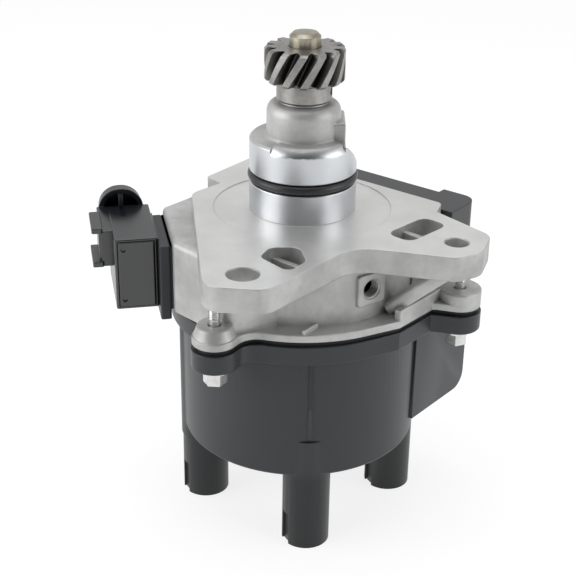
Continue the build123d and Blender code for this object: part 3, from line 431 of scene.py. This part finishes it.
pilot_radius = 21.0
pilot_top = 29.3
groove_low, groove_high, groove_floor = 11.6, 16.0, 18.13
nose_radius = 14.4
flange_thickness = 10.0
bowl_radius = 45.0
rim_top = -31.0
rim_bottom = -34.0
rim_radius = 52.5
ear_radius = 8.6
ear_top = -26.7
screw_hole = 2.3
near_ear = polar(68.9, -107.75)
right_ear = polar(67.2, -31.1)
cap_ears = ((61.4, -121.4), (64.8, -15.0), (64.5, 131.0))
ear_places = [polar(*place) for place in cap_ears]
coil_front = 38.4
coil_screws_u = (-35.0, 38.5)
coil_screw_height = -19
to_coil = about_z(-38.46)
to_wall = about_z(191.6)
to_web = about_z(-40.5)
along_x = Matrix(((0, 0, 1, 0), (1, 0, 0, 0), (0, 1, 0, 0), (0, 0, 0, 1)))
along_y = Matrix(((1, 0, 0, 0), (0, 0, 1, 0), (0, 1, 0, 0), (0, 0, 0, 1)))

apex = to_coil @ Vector((-52.0, coil_front, 0))
back = to_coil @ Vector((41.0, coil_front, 0))
flange_corners = [
    (-39.8, 30.5, 1.5), (apex.x, apex.y, 5.0), (back.x, back.y, 3.0), (53.2, -4.8, 1.0),
    (right_ear[0] + 13.8, right_ear[1] + 7.0, 7.0), (right_ear[0] + 8.6, right_ear[1] - 9.2, 8.0),
    (right_ear[0] - 1.2, right_ear[1] - 14.6, 6.0), (19.3, -40.7, 15.0),
    (near_ear[0] + 8.8, near_ear[1] - 12.9, 9.0), (near_ear[0] - 13.6, near_ear[1] - 10.6, 8.0),
    (-44.8, 11.6, 8.0), (-33.6, 23.5, 1.0)]
flange = slab(flange_corners, -flange_thickness, 0, 0.3, 0.9)
flange = combine("DIFFERENCE", flange, prism(disc(35.2), -0.3, 1.0))

stem = turned([
    (pilot_radius, -12.0), (pilot_radius, groove_low - 0.3), (pilot_radius - 0.3, groove_low),
    (groove_floor, groove_low), (groove_floor, groove_high), (pilot_radius - 0.3, groove_high),
    (pilot_radius, groove_high + 0.3), (pilot_radius, pilot_top - 0.9),
    (pilot_radius - 0.9, pilot_top)], 192)


def sector(profile, start, end, steps=40):
    """Closed (radius, height) outline swept round the axis between two angles."""
    return loft([[(*polar(radius, start + (end - start) * i / steps), z) for radius, z in profile]
                 for i in range(steps + 1)])


front = (-127.0, -40.0)
waste = sector([(13.4, 31.3), (22.0, 31.3), (22.0, 26.7), (pilot_radius, 26.7), (18.6, pilot_top),
                (18.6, 30.3), (13.4, 30.3)], *front)
front_pad = sector([(13.4, 25.7), (pilot_radius, 25.7), (pilot_radius, 26.7), (20.6, 27.6),
                    (19.6, 29.2), (18.6, 29.9), (17.6, 30.1), (13.4, 30.1)], *front)
stem = combine("DIFFERENCE", stem, waste)
foot_round = 1.4
foot_radius = nose_radius + foot_round
foot = [(foot_radius, pilot_top - 1)]
for i in range(6):
    turn = pi / 2 * i / 5
    foot.append((foot_radius - foot_round * sin(turn), pilot_top + foot_round - foot_round * cos(turn)))
nose = turned(foot + quarter(nose_radius, 38.9, 2.8, 4.0, 8), 128)
nose_pad = block((0, 15.9), (-8.8, 8.8), (28.3, 36.9), 0.4, 1.1)
stem = combine("UNION", stem, front_pad, nose, nose_pad)
relief = [(-15.64, 31.3), (-0.84, 17.5), (22.0, 17.5), (22.0, 31.3)]
stem = combine("DIFFERENCE", stem, loft([[(x, y, z) for y, z in relief] for x in (15.9, 37.0)]))


def ear_shape(rim, ear, pitch, corner=8.0):
    """Outline of a screw ear on a round rim, with a hollow corner on each side, drawn along X."""
    side = ear + corner
    reach = sqrt((rim + corner) ** 2 - side ** 2)
    start = atan2(-side, -reach)

    def shape(inset):
        half = []
        for i in range(9):
            turn = start + (-pi / 2 - start) * i / 8
            half.append((reach + (corner + inset) * cos(turn), side + (corner + inset) * sin(turn)))
        for i in range(13):
            turn = pi / 2 - pi / 2 * i / 12
            half.append((pitch + (ear - inset) * cos(turn), (ear - inset) * sin(turn)))
        return [(x, -y) for x, y in half[:-1]] + half[::-1] + [(rim / 2, 0.0)]

    return shape


def joint(rim, ear, low, high, top, foot, less=0.0):
    """The joint's outline as one body: rim, coil bay, straight web and the three screw ears."""
    bay = rectangle((-42 + less, 46 - less), (18, 57 - less), 3)
    web = [(0, 0, 0.1), (*polar(rim, -21.64), 0.1), (54.3 - less, -5.5, 0.5), (54.3 - less, 22.0, 0.5)]
    levels = (low, high, top, foot)
    parts = [placed(slab(bay, *levels), to_coil), placed(slab(web, *levels), to_web)]
    for pitch, angle in cap_ears:
        parts.append(placed(prism(ear_shape(rim, ear, pitch), *levels), about_z(angle)))
    return combine("UNION", prism(disc(rim, steps=160), *levels), *parts)


def standing_wall(start, end, thickness, low, high, top=0.5):
    """Upright wall between two points of the plan."""
    run = Vector(end) - Vector(start)
    wall = block((0, run.length), (-thickness / 2, thickness / 2), (low, high), 0.3, top)
    aim = Matrix.Rotation(atan2(run.y, run.x), 4, "Z")
    return placed(wall, Matrix.Translation((*start, 0)) @ aim)


def in_plan(x, y, angle):
    """Place and turn in the plan."""
    return Matrix.Translation((x, y, 0)) @ about_z(angle)


rim = joint(rim_radius, ear_radius, rim_bottom, rim_top, 0.5, 0.2)
bowl_levels = (rim_top - 1, -9.5)
bowl = combine("DIFFERENCE", prism(disc(bowl_radius, steps=160), *bowl_levels),
               placed(block((-70, 70), (coil_front, 90), (-36, 0)), to_coil))
back_wall = placed(block((-39, 42), (18, coil_front), bowl_levels, 0.3), to_coil)
chamber_corners = [(53.8, -16.6, 1.0), (53.8, 19.8, 3.0), (36.8, 46.0, 4.0), (12.0, 40.0, 1.0),
                   (12.0, -30.0, 1.0), (27.5, -37.5, 1.0)]
chamber = placed(slab(chamber_corners, -33.0, -3.4, 2.6, 0.3, 5), to_wall)
cone_top = ear_top - 0.9
near_boss = holes(ear_places[:1], [
    (ear_radius, rim_bottom + 0.3), (ear_radius, -32.2), (ear_radius - 0.5, -31.2), (6.9, cone_top),
    *quarter(6.9, cone_top, 0.9, 0.9, 3)], 64)
bosses = holes(ear_places[1:], [
    (ear_radius, rim_bottom + 0.3), *quarter(ear_radius, cone_top, 0.9, 0.9, 4)], 64)
gusset = standing_wall(ear_places[0], (-14.6, -43.6), 5.2, rim_bottom + 0.5, ear_top, 0.9)
side_wall = placed(block((51.3, 54.3), (-5.5, 22.0), (rim_bottom + 0.5, ear_top), 0.4, 0.6), to_web)
rib = standing_wall((0.7, -51.5), (6.0, -44.8), 1.3, -32.0, -29.4, 0.5)
strut = bar((34.2, -30.5, -29.5), (55.2, -41.5, -8.0), 3.2)
to_pad = about_z(-54.6)
drain_pad = placed(block((-6.5, 6.5), (-25.1, -12.1), (37.5, 46.0), 1.5, 0.5), to_pad @ along_x)
casting_body = combine("UNION", flange, stem, bowl, back_wall, chamber, rim, *near_boss, *bosses,
                       gusset, side_wall, rib, strut, drain_pad)

near_pocket = [(-15.5, -50.8, 4.0), (-12.0, -42.2, 4.0), (-1.0, -41.3, 4.0), (1.4, -53.6, 4.0),
               (-4.9, -63.2, 3.0)]
pocket_levels = (-7.6, 1.0)
to_right_pocket = in_plan(43.8, -22.8, 47)
cuts = [slab(near_pocket, *pocket_levels, foot=1.2),
        placed(block((-11.5, 11.5), (-5.75, 5.75), pocket_levels, 4.2, foot=1.2), to_right_pocket)]
for place, radius in ((near_ear, 5.9), (right_ear, 4.5)):
    cuts += holes([place], [
        (radius + 0.8, -11.0), (radius + 0.4, -flange_thickness), (radius, -9.6), (radius, -0.4),
        (radius + 0.4, 0.0), (radius + 1.4, 1.0)], 64)
chamber_room = placed(block((30.0, 50.2), (-13.0, 15.0), (-36.0, -7.5)), to_wall)
wall_window = placed(block((49.0, 55.0), (-7.0, 7.0), (-24.5, -12.5)), to_wall)
cuts += [chamber_room, wall_window]
lead_place = (to_coil @ Vector((31.0, 46.0, 0))).xy
cuts += holes([lead_place], [(6.6, -36.0), (6.6, -30.0)], 48)
for u in coil_screws_u:
    cuts.append(bar(*(to_coil @ Vector((u, v, coil_screw_height)) for v in (29.5, 40.0)), 2.5))
wheel_room = turned([(41.0, -36.0), (41.0, -12.0)])
bearing_seat = turned([(16.02, -12.5), (16.02, -2.0)])
shaft_room = turned([(12.5, -3.0), (12.5, 26.5)])
nose_bore = turned([(8.5, 25.5), (8.5, 42.3), (9.6, 43.5)])
cuts += [wheel_room, bearing_seat, shaft_room, nose_bore]
cuts += holes(ear_places, [(screw_hole, -36.0), (screw_hole, ear_top - 0.5),
                           (screw_hole + 1.0, ear_top + 0.5)])
thread = [(4.9, 47.0), (4.1, 45.6)]
thread_pitch = 1.25
for i in range(6):
    drop = thread_pitch * i
    thread += [(3.35, 45.2 - drop), (3.35, 44.9 - drop), (3.85, 44.6 - drop), (3.85, 44.3 - drop)]
cuts.append(placed(turned(thread[::-1], 48), to_pad @ Matrix.Translation((0, 0, -18.6))
                   @ Matrix.Rotation(pi / 2, 4, "Y")))
casting_body = combine("DIFFERENCE", casting_body, *cuts)
webs = [placed(block((-1.2, 1.2), (-12.0, 12.0), (-9.0, -4.2), 0.1, 0.3), in_plan(-4.2, -46.8, 50)),
        placed(block((-1.2, 1.2), (-7.0, 7.0), (-9.0, -2.6), 0.1, 0.3), to_right_pocket)]
casting_body = combine("UNION", casting_body, *webs)
finished("die_cast_housing", casting_body, alloy_casting(), "housing")


def paint(material, *names):
    """Gives a CAD node its finish."""
    for name in names:
        for slot in nodes[name].material_slots:
            slot.material = material


# O-ring, gaskets and lip seal: black nitrile rubber, a little shiny where the mould was polished.
def rubber(name, colour, roughness):
    """Rubber with a fine speck."""
    look = Finish(name)
    speck = look.noise(700.0, 3.0, 0.6)
    return look.set(
        Base_Color=look.blend(speck, colour, tuple(1.35 * c for c in colour)),
        Roughness=roughness + 0.1 * (speck - 0.5),
        Normal=look.bump(speck, 0.02 * MM, 0.4))


paint(rubber("o_ring_rubber", (0.018, 0.018, 0.02), 0.34), "pilot_o_ring", "shaft_oil_seal")
seal_rubber = rubber("gasket_rubber", (0.008, 0.008, 0.009), 0.6)


# Drive gear: hobbed from steel in one piece with its hub, chamfered at both ends and pinned to the
# shaft. The teeth are lofted from one outline that turns with the height, round at their roots.
def machined_steel(name, dark, light, roughness, stretch=(1, 1, 1), oil_and_shade_gaps=None):
    """Steel with fine marks. The last argument gives the root and tip radius and the heights of the
    tooth gaps, which darken towards their roots with dark oil and painted shade.
    """
    look = Finish(name)
    cloud = look.noise(160.0, 4.0, 0.65)
    marks = look.noise(1300.0, 2.0, 0.6, stretch=stretch)
    colour = look.blend(cloud.between(0.3, 0.7), dark, light)
    if oil_and_shade_gaps:
        radius, z = look.from_axis()
        # Tooth gaps darken towards their roots: partly dark oil, partly painted shade where the teeth
        # hide each other.
        oil_and_painted_shade = radius.between(oil_and_shade_gaps[1], oil_and_shade_gaps[0]) * (z > oil_and_shade_gaps[2]) * (z < oil_and_shade_gaps[3])
        colour = look.blend(oil_and_painted_shade, colour, (0.045, 0.043, 0.04))
    return look.set(
        Base_Color=colour,
        Metallic=0.85,
        Roughness=roughness + 0.12 * (marks - 0.5),
        Normal=look.bump(marks, 0.015 * MM, 0.5, look.soft_edge(0.25 * MM)))


gear_teeth = 13
gear_foot = 51.3
gear_top = 64.4
gear_tip, gear_root, gear_pitch = 15.4, 11.3, 13.6
gear_lead = tan(radians(28.0)) / gear_pitch
gear_chamfer = 0.9
gear_phase = -9.5
gear_bore = 6.0
# Half a tooth's angle, in degrees, at shares of its height from the root to the tip.
tooth_flank = [(0.0, 11.6), (0.08, 11.1), (0.25, 10.0), (0.56, 6.92), (0.8, 6.1), (0.96, 5.7),
               (1.0, 5.1)]
hub_foot, hub_length = 43.9, 7.4


def gear_ring(z, turn):
    """Outline of the teeth at a height, lower near the chamfered ends."""
    tip = gear_tip - max(0.0, gear_chamfer - min(z - gear_foot, gear_top - z))
    half_tooth = [(gear_root - 0.12, 13.0)]
    half_tooth += [(gear_root + share * (tip - gear_root), half) for share, half in tooth_flank]
    ring = []
    for i in range(gear_teeth):
        middle = turn + i * 360 / gear_teeth
        ring += [(radius, middle - half) for radius, half in half_tooth]
        ring += [(radius, middle + half) for radius, half in half_tooth[::-1]]
    return [(*polar(radius, angle), z) for radius, angle in ring]


straight = gear_top - gear_foot - 2 * gear_chamfer
levels = [gear_foot, gear_foot + gear_chamfer / 2]
levels += [gear_foot + gear_chamfer + straight * i / 16 for i in range(17)]
levels += [gear_top - gear_chamfer / 2, gear_top]
gear = loft([gear_ring(z, gear_phase + (z - gear_foot) * gear_lead * 180 / pi) for z in levels])
hub = turned([(9.9, hub_foot), (10.7, 44.5), (10.7, 50.9), (10.2, 51.2), (10.2, 52.0)], 96)
gear = combine("UNION", gear, hub)
pin_height = hub_foot + hub_length * 0.55
pin_ends = [about_z(-14.0) @ Vector((x, 0, pin_height)) for x in (-12.0, 12.0)]
gear = combine("DIFFERENCE", gear, bar(*pin_ends, 1.95), turned([(gear_bore, 42.0), (gear_bore, 66.0)]),
               turned([(gear_bore, 64.0), (7.4, 65.4)]))
# The tooth gaps get dark oil and painted shade.
gear_look = machined_steel("gear_steel", (0.24, 0.235, 0.225), (0.36, 0.35, 0.335), 0.36,
                           oil_and_shade_gaps=(12.6 * MM, 15.0 * MM, 51.8 * MM, 64.2 * MM))
finished("drive_gear_teeth", gear, gear_look, "drive_gear", "rotor")


# Steel, iron, bronze and brass parts that keep the CAD forms.
paint(machined_steel("shaft_steel", (0.30, 0.275, 0.215), (0.42, 0.39, 0.32), 0.30,
                     stretch=(0.1, 0.1, 3.0)), "shaft")
paint(machined_steel("bearing_steel", (0.55, 0.55, 0.56), (0.66, 0.66, 0.67), 0.2),
      "gear_pin", "bearing_outer_race", "bearing_balls", "bearing_inner_race")
paint(machined_steel("pressed_steel", (0.36, 0.36, 0.36), (0.46, 0.46, 0.46), 0.38),
      "thrust_washer", "bearing_cage", "bearing_retainer", "speed_wheel", "cylinder_wheel")
zinc = machined_steel("zinc_steel", (0.62, 0.62, 0.60), (0.76, 0.76, 0.74), 0.22)
paint(zinc, "retainer_screws", "pickup_screws", "brush_spring", "rotor_screw", "coil_screws",
      "module_screws")


def laminated_iron():
    """Stamped sheets stacked in height, with a dark line between each two."""
    look = Finish("core_iron")
    sheet_thickness = 1.0 * MM
    wave = look.split(look.place())[2] * (2 * pi / sheet_thickness)
    line = wave.math("SINE", wave).between(0.55, 0.95)
    cloud = look.noise(90.0, 3.0, 0.5)
    iron = look.blend(cloud, (0.20, 0.20, 0.21), (0.24, 0.24, 0.25))
    return look.set(
        Base_Color=look.blend(line, iron, (0.05, 0.05, 0.05)),
        Metallic=0.8,
        Roughness=0.45 + 0.2 * line,
        Normal=look.bump(1 - line, 0.05 * MM, 0.6))


paint(laminated_iron(), "coil_core", "pickup_poles")
paint(machined_steel("bush_bronze", (0.50, 0.33, 0.15), (0.62, 0.43, 0.22), 0.35), "nose_bush")
paint(machined_steel("conductor_brass", (0.62, 0.45, 0.18), (0.74, 0.56, 0.27), 0.25),
      "centre_conductor", "rotor_blade", "coil_terminal")
paint(machined_steel("terminal_metal", (0.60, 0.60, 0.60), (0.72, 0.72, 0.72), 0.3),
      "cap_terminals")


# Cap: glass-filled thermoplastic, dark grey and satin, with a faint moulding skin. The inside and the
# drum are the CAD piece's; its joint is cut off and moulded anew to meet the housing's three ears,
# and a narrow rib runs up the drum above the front tower.
def moulding(name, colour, roughness, edge=0.4 * MM, shine=0.5, shade=None):
    """Moulded plastic; shade gives two heights, and painted shade darkens it from the first to the
    second.
    """
    look = Finish(name)
    look.shader.inputs["Specular IOR Level"].default_value = shine
    cloud = look.noise(60.0, 3.0, 0.5)
    skin = look.noise(1400.0, 2.0, 0.6)
    tone = look.blend(cloud, tuple(0.85 * c for c in colour), tuple(1.15 * c for c in colour))
    if shade:
        height = look.split(look.place())[2]
        # Painted shade: the colour darkens lower down, between the two heights.
        tone = look.blend(height.between(*shade), tone, tuple(0.45 * c for c in colour))
    return look.set(
        Base_Color=tone,
        Roughness=roughness + 0.06 * (cloud - 0.5),
        Normal=look.bump(skin, 0.01 * MM, 0.4, look.soft_edge(edge)))


def opened(body, radius, u, v, low, high, hole):
    """The joint's body with the room of the bowl, of the coil and of the three screws cut out."""
    room = [turned([(radius, low), (radius, high)], 160), placed(block(u, v, (low, high)), to_coil)]
    return combine("DIFFERENCE", body, *room, *holes(ear_places, [(hole, low), (hole, high)]))


drum_radius = 48.3
old_joint = combine("DIFFERENCE", prism(disc(90.0), -45.2, -30),
                    turned([(drum_radius, -60), (drum_radius, -20)], 160),
                    placed(block((-42, 46), (18, 57), (-60, -30)), to_coil))
cap_body = combine("DIFFERENCE", in_millimetres("cap"), old_joint)
cap_joint = joint(52.8, 9.0, -43.8, -36.0, 0.3, 0.7)
cap_joint = opened(cap_joint, 44.7, (-38.4, 42.4), (30.0, 53.4), -50, -30, 2.4)
front_tower = -85.0
narrow_rib = standing_wall(polar(46.56, front_tower), polar(48.768, front_tower), 2.0, -79.0, -43.0)
cap_body = combine("UNION", cap_body, cap_joint, narrow_rib)
# The lead towers darken with painted shade from -93 mm down to -99 mm.
cap_look = moulding("cap_plastic", (0.0225, 0.0265, 0.0295), 0.36, 0.6 * MM,
                    shade=(-93 * MM, -99 * MM))
finished("distributor_cap", cap_body, cap_look, "cap")


# Cap gasket: a flat black rubber moulding that follows the joint a little inside its edge.
seal = joint(51.4, 7.4, -36.0, rim_bottom, 0.0, 0.0, 1.2)
seal = opened(seal, 45.6, (-37.4, 41.4), (30.0, 52.4), -37, -33, 2.5)
finished("joint_gasket", seal, seal_rubber, "cap_gasket")


# Cap screws: three zinc-plated hexagon flange screws with a driver slot, up through the ears. One
# screw is modelled and Geometry Nodes set it on the three ears, each turned at random.
shank, thread_floor = 2.25, 1.95
screw_profile = [(4.2, -46.35), (5.1, -46.2), (5.1, -44.2), (4.9, -43.9), (shank, -43.85)]
for i in range(5):
    foot = -24.4 + 0.8 * i
    screw_profile += [(thread_floor, foot), (thread_floor, foot + 0.15), (shank, foot + 0.4),
                      (shank, foot + 0.55)]
screw_profile += [(thread_floor, -20.5), (1.5, -20.2)]
across_flats = 8.0
hexagon = [(*polar(across_flats / sqrt(3), 60 * i + 15), 0.25) for i in range(6)]
screw = combine("UNION", turned(screw_profile, 64), slab(hexagon, -51.2, -46.0, foot=0.5))
screw = combine("DIFFERENCE", screw, block((-8, 8), (-0.6, 0.6), (-52.2, -49.8)))
bmesh.ops.scale(screw, vec=(MM, MM, MM), verts=screw.verts)
screw_mesh = bpy.data.meshes.new("one_screw")
screw.to_mesh(screw_mesh)
screw.free()
one_screw = bpy.data.objects.new("one_screw", screw_mesh)
ear_mesh = bpy.data.meshes.new("ears")
ear_mesh.from_pydata([(x * MM, y * MM, 0) for x, y in ear_places], [], [])
screws = bpy.data.objects.new("ears", ear_mesh)
for thing in (one_screw, screws):
    bpy.context.scene.collection.objects.link(thing)

group = bpy.data.node_groups.new("screws_on_ears", "GeometryNodeTree")
socket_ids = {}
for label, kind in (
        ("Geometry", "NodeSocketGeometry"), ("Screw", "NodeSocketObject"),
        ("Material", "NodeSocketMaterial"), ("Turn", "NodeSocketFloat"), ("Seed", "NodeSocketInt")):
    socket_ids[label] = group.interface.new_socket(label, in_out="INPUT", socket_type=kind).identifier
group.interface.new_socket("Geometry", in_out="OUTPUT", socket_type="NodeSocketGeometry")
steps = {kind: group.nodes.new(kind) for kind in (
    "NodeGroupInput", "GeometryNodeObjectInfo", "FunctionNodeRandomValue", "ShaderNodeCombineXYZ",
    "GeometryNodeInstanceOnPoints", "GeometryNodeRealizeInstances", "GeometryNodeSetMaterial",
    "NodeGroupOutput")}
for start, output, end, entry in (
        ("NodeGroupInput", "Geometry", "GeometryNodeInstanceOnPoints", "Points"),
        ("NodeGroupInput", "Screw", "GeometryNodeObjectInfo", "Object"),
        ("NodeGroupInput", "Material", "GeometryNodeSetMaterial", "Material"),
        ("NodeGroupInput", "Turn", "FunctionNodeRandomValue", 3),
        ("NodeGroupInput", "Seed", "FunctionNodeRandomValue", "Seed"),
        ("FunctionNodeRandomValue", 1, "ShaderNodeCombineXYZ", "Z"),
        ("ShaderNodeCombineXYZ", "Vector", "GeometryNodeInstanceOnPoints", "Rotation"),
        ("GeometryNodeObjectInfo", "Geometry", "GeometryNodeInstanceOnPoints", "Instance"),
        ("GeometryNodeInstanceOnPoints", "Instances", "GeometryNodeRealizeInstances", "Geometry"),
        ("GeometryNodeRealizeInstances", "Geometry", "GeometryNodeSetMaterial", "Geometry"),
        ("GeometryNodeSetMaterial", "Geometry", "NodeGroupOutput", "Geometry")):
    group.links.new(steps[start].outputs[output], steps[end].inputs[entry])
maker = screws.modifiers.new("screws", "NODES")
maker.node_group = group
for label, value in (("Screw", one_screw), ("Material", zinc), ("Turn", 1.0), ("Seed", 4)):
    maker[socket_ids[label]] = value
graph = bpy.context.evaluated_depsgraph_get()
made = bmesh.new()
made.from_mesh(bpy.data.meshes.new_from_object(screws.evaluated_get(graph)))
for thing in (one_screw, screws):
    bpy.data.objects.remove(thing)
bmesh.ops.scale(made, vec=(1 / MM, 1 / MM, 1 / MM), verts=made.verts)
finished("flange_screws", made, zinc, "cap_screws")


# Igniter: a black moulded case on a black plate and a thin gasket, bolted to the chamber's wall. Its
# front cover lies in a frame and has two moulding dimples.
def wall_block(x, y, z, corner=0.05, top=0.0, foot=0.0):
    """Box on the chamber's wall: x runs out of the wall and y along it."""
    return placed(block(x, y, z, corner, top, foot), to_wall)


def wall_bar(start, end, radius):
    """Round bar between two points given like those of wall_block."""
    return bar(to_wall @ Vector(start), to_wall @ Vector(end), radius, steps=24)


black = moulding("case_plastic", (0.008, 0.0095, 0.012), 0.26, 0.5 * MM, 1.0)
case = combine("DIFFERENCE", wall_block((58.8, 75.4), (-23.6, 11.8), (-34.2, -4.8), 0.9, 0.6, 0.6),
               wall_block((59.9, 74.3), (10.4, 13.0), (-33.1, -5.9), 0.5))
case = combine("UNION", case, wall_block((58.2, 60.0), (-15.5, 11.0), (-33.0, -5.6), 0.3, 0.3))
case = combine("DIFFERENCE", case, wall_block((69.0, 70.8), (-24.5, -12.0), (-5.8, -3.0)))
finished("igniter_body", case, black, "igniter_case")
cover = wall_block((60.1, 74.1), (10.5, 12.2), (-32.9, -6.1), 0.6)
dimples = [wall_bar((72.0, 11.5, z), (72.0, 13.0, z), 0.9) for z in (-30.0, -9.0)]
finished("igniter_lid", combine("DIFFERENCE", cover, *dimples), black, "igniter_cover")
plate = combine("UNION", wall_block((54.6, 58.8), (-15.5, 17.3), (-37.4, -6.5), 0.8, 0.5, 0.5),
                wall_block((50.5, 55.0), (-6.8, 6.8), (-24.3, -12.7), 0.5))
finished("igniter_plate", plate, moulding("plate_alloy", (0.016, 0.018, 0.021), 0.42), "module_plate")
pad = combine("DIFFERENCE", wall_block((53.8, 54.6), (-15.3, 17.0), (-33.0, -6.7), 0.8),
              wall_block((53.0, 55.0), (-7.0, 7.0), (-24.5, -12.5)))
finished("igniter_gasket", pad, seal_rubber, "module_gasket")


# Connector: a black socket moulded on the back of the case, open to the rear. Its round hood stands
# above the case, open to the front with a rib in the middle; two guide rails run along the side.
def arch(centre, half, rise, low, corner):
    """Upright outline with a rounded head, drawn in x and z."""
    corners = [(centre - half, low, 2.0), (centre + half, low, 2.0), (centre + half, rise, corner),
               (centre - half, rise, corner)]
    return lambda inset: round_outline(corners, inset)


def along_wall(shape, start, end, inset=0.0):
    """Outline in x and z, drawn along the wall from one y to another."""
    return placed(prism(lambda less: shape(inset + less), start, end), to_wall @ along_y)


hood = arch(69.9, 8.7, 1.7, -27.0, 8.2)
hood_body = combine("DIFFERENCE", along_wall(hood, -29.6, -23.8),
                    along_wall(hood, -28.4, -23.0, 1.6))
hood_lip = combine("DIFFERENCE", along_wall(hood, -25.4, -23.6, -0.4),
                   along_wall(hood, -26.0, -23.0, 0.9))
mouth_middle = 69.0
mouth = arch(mouth_middle, 6.3, -5.3, -26.0, 2.0)
mouth_body = combine("DIFFERENCE", along_wall(mouth, -40.0, -29.0),
                     along_wall(mouth, -41.0, -31.0, 1.7))
rib_slope = [(-29.0, -8.0), (-29.0, 0.9), (-24.2, 0.6), (-23.2, -4.9), (-23.2, -8.0)]
mid_rib = placed(loft([[(x, y, z) for y, z in rib_slope] for x in (69.0, 70.8)]), to_wall)
rails = [wall_block((74.9, 79.8), (-24.0, 2.0), (-19.7, -5.0), 0.4, 0.4)]
for top in (-3.4, -17.5):
    rails.append(wall_block((79.0, 83.3), (-15.0, 3.0), (top - 2.2, top), 0.8, 0.3, 0.3))
rails.append(wall_block((79.0, 80.6), (-12.0, 1.0), (-19.0, -5.0), 0.4))
socket_body = combine("UNION", hood_body, hood_lip, mouth_body, mid_rib, *rails)
socket_look = moulding("connector_plastic", (0.008, 0.0095, 0.012), 0.26, 0.5 * MM, 1.0)
finished("loom_socket", socket_body, socket_look, "connector_socket")

half_pin = 0.7
pins = [wall_block((x - half_pin, x + half_pin), (-37.5, -30.5), (z - half_pin, z + half_pin), 0.1)
        for x in (mouth_middle - 2.4, mouth_middle + 2.4) for z in (-22.4, -18.0, -13.6, -9.2)]
pin_look = machined_steel("pin_tin", (0.60, 0.60, 0.60), (0.72, 0.72, 0.72), 0.3)
finished("loom_pins", combine("UNION", *pins), pin_look, "connector_terminals")


# Coil: a black potted moulding on the flat back of the housing, with its raised end at the right. It
# is the CAD form with the edges of its outside rounded as the mould leaves them.
coil = in_millimetres("coil_case")
bmesh.ops.dissolve_limit(coil, angle_limit=radians(0.5), verts=coil.verts, edges=coil.edges)
outer = [edge for edge in coil.edges
         if len(edge.link_faces) == 2 and edge.calc_face_angle() > radians(50)
         and edge.calc_length() > 12 and min(vert.co.z for vert in edge.verts) > -32]
bmesh.ops.bevel(coil, geom=outer, offset=0.7, segments=3, profile=0.5, affect="EDGES",
                clamp_overlap=True)
coil_look = moulding("coil_plastic", (0.016, 0.018, 0.021), 0.34, 0.6 * MM, 0.7)
finished("coil_moulding", coil, coil_look, "coil_case")


# The other mouldings keep the CAD forms.
paint(black, "dust_cover")
paint(moulding("rotor_plastic", (0.16, 0.07, 0.04), 0.4), "rotor_arm")
paint(moulding("pickup_plastic", (0.02, 0.02, 0.022), 0.45), "speed_pickup_coil",
      "cylinder_pickup_coil")
paint(moulding("brush_carbon", (0.012, 0.012, 0.013), 0.6), "carbon_brush")
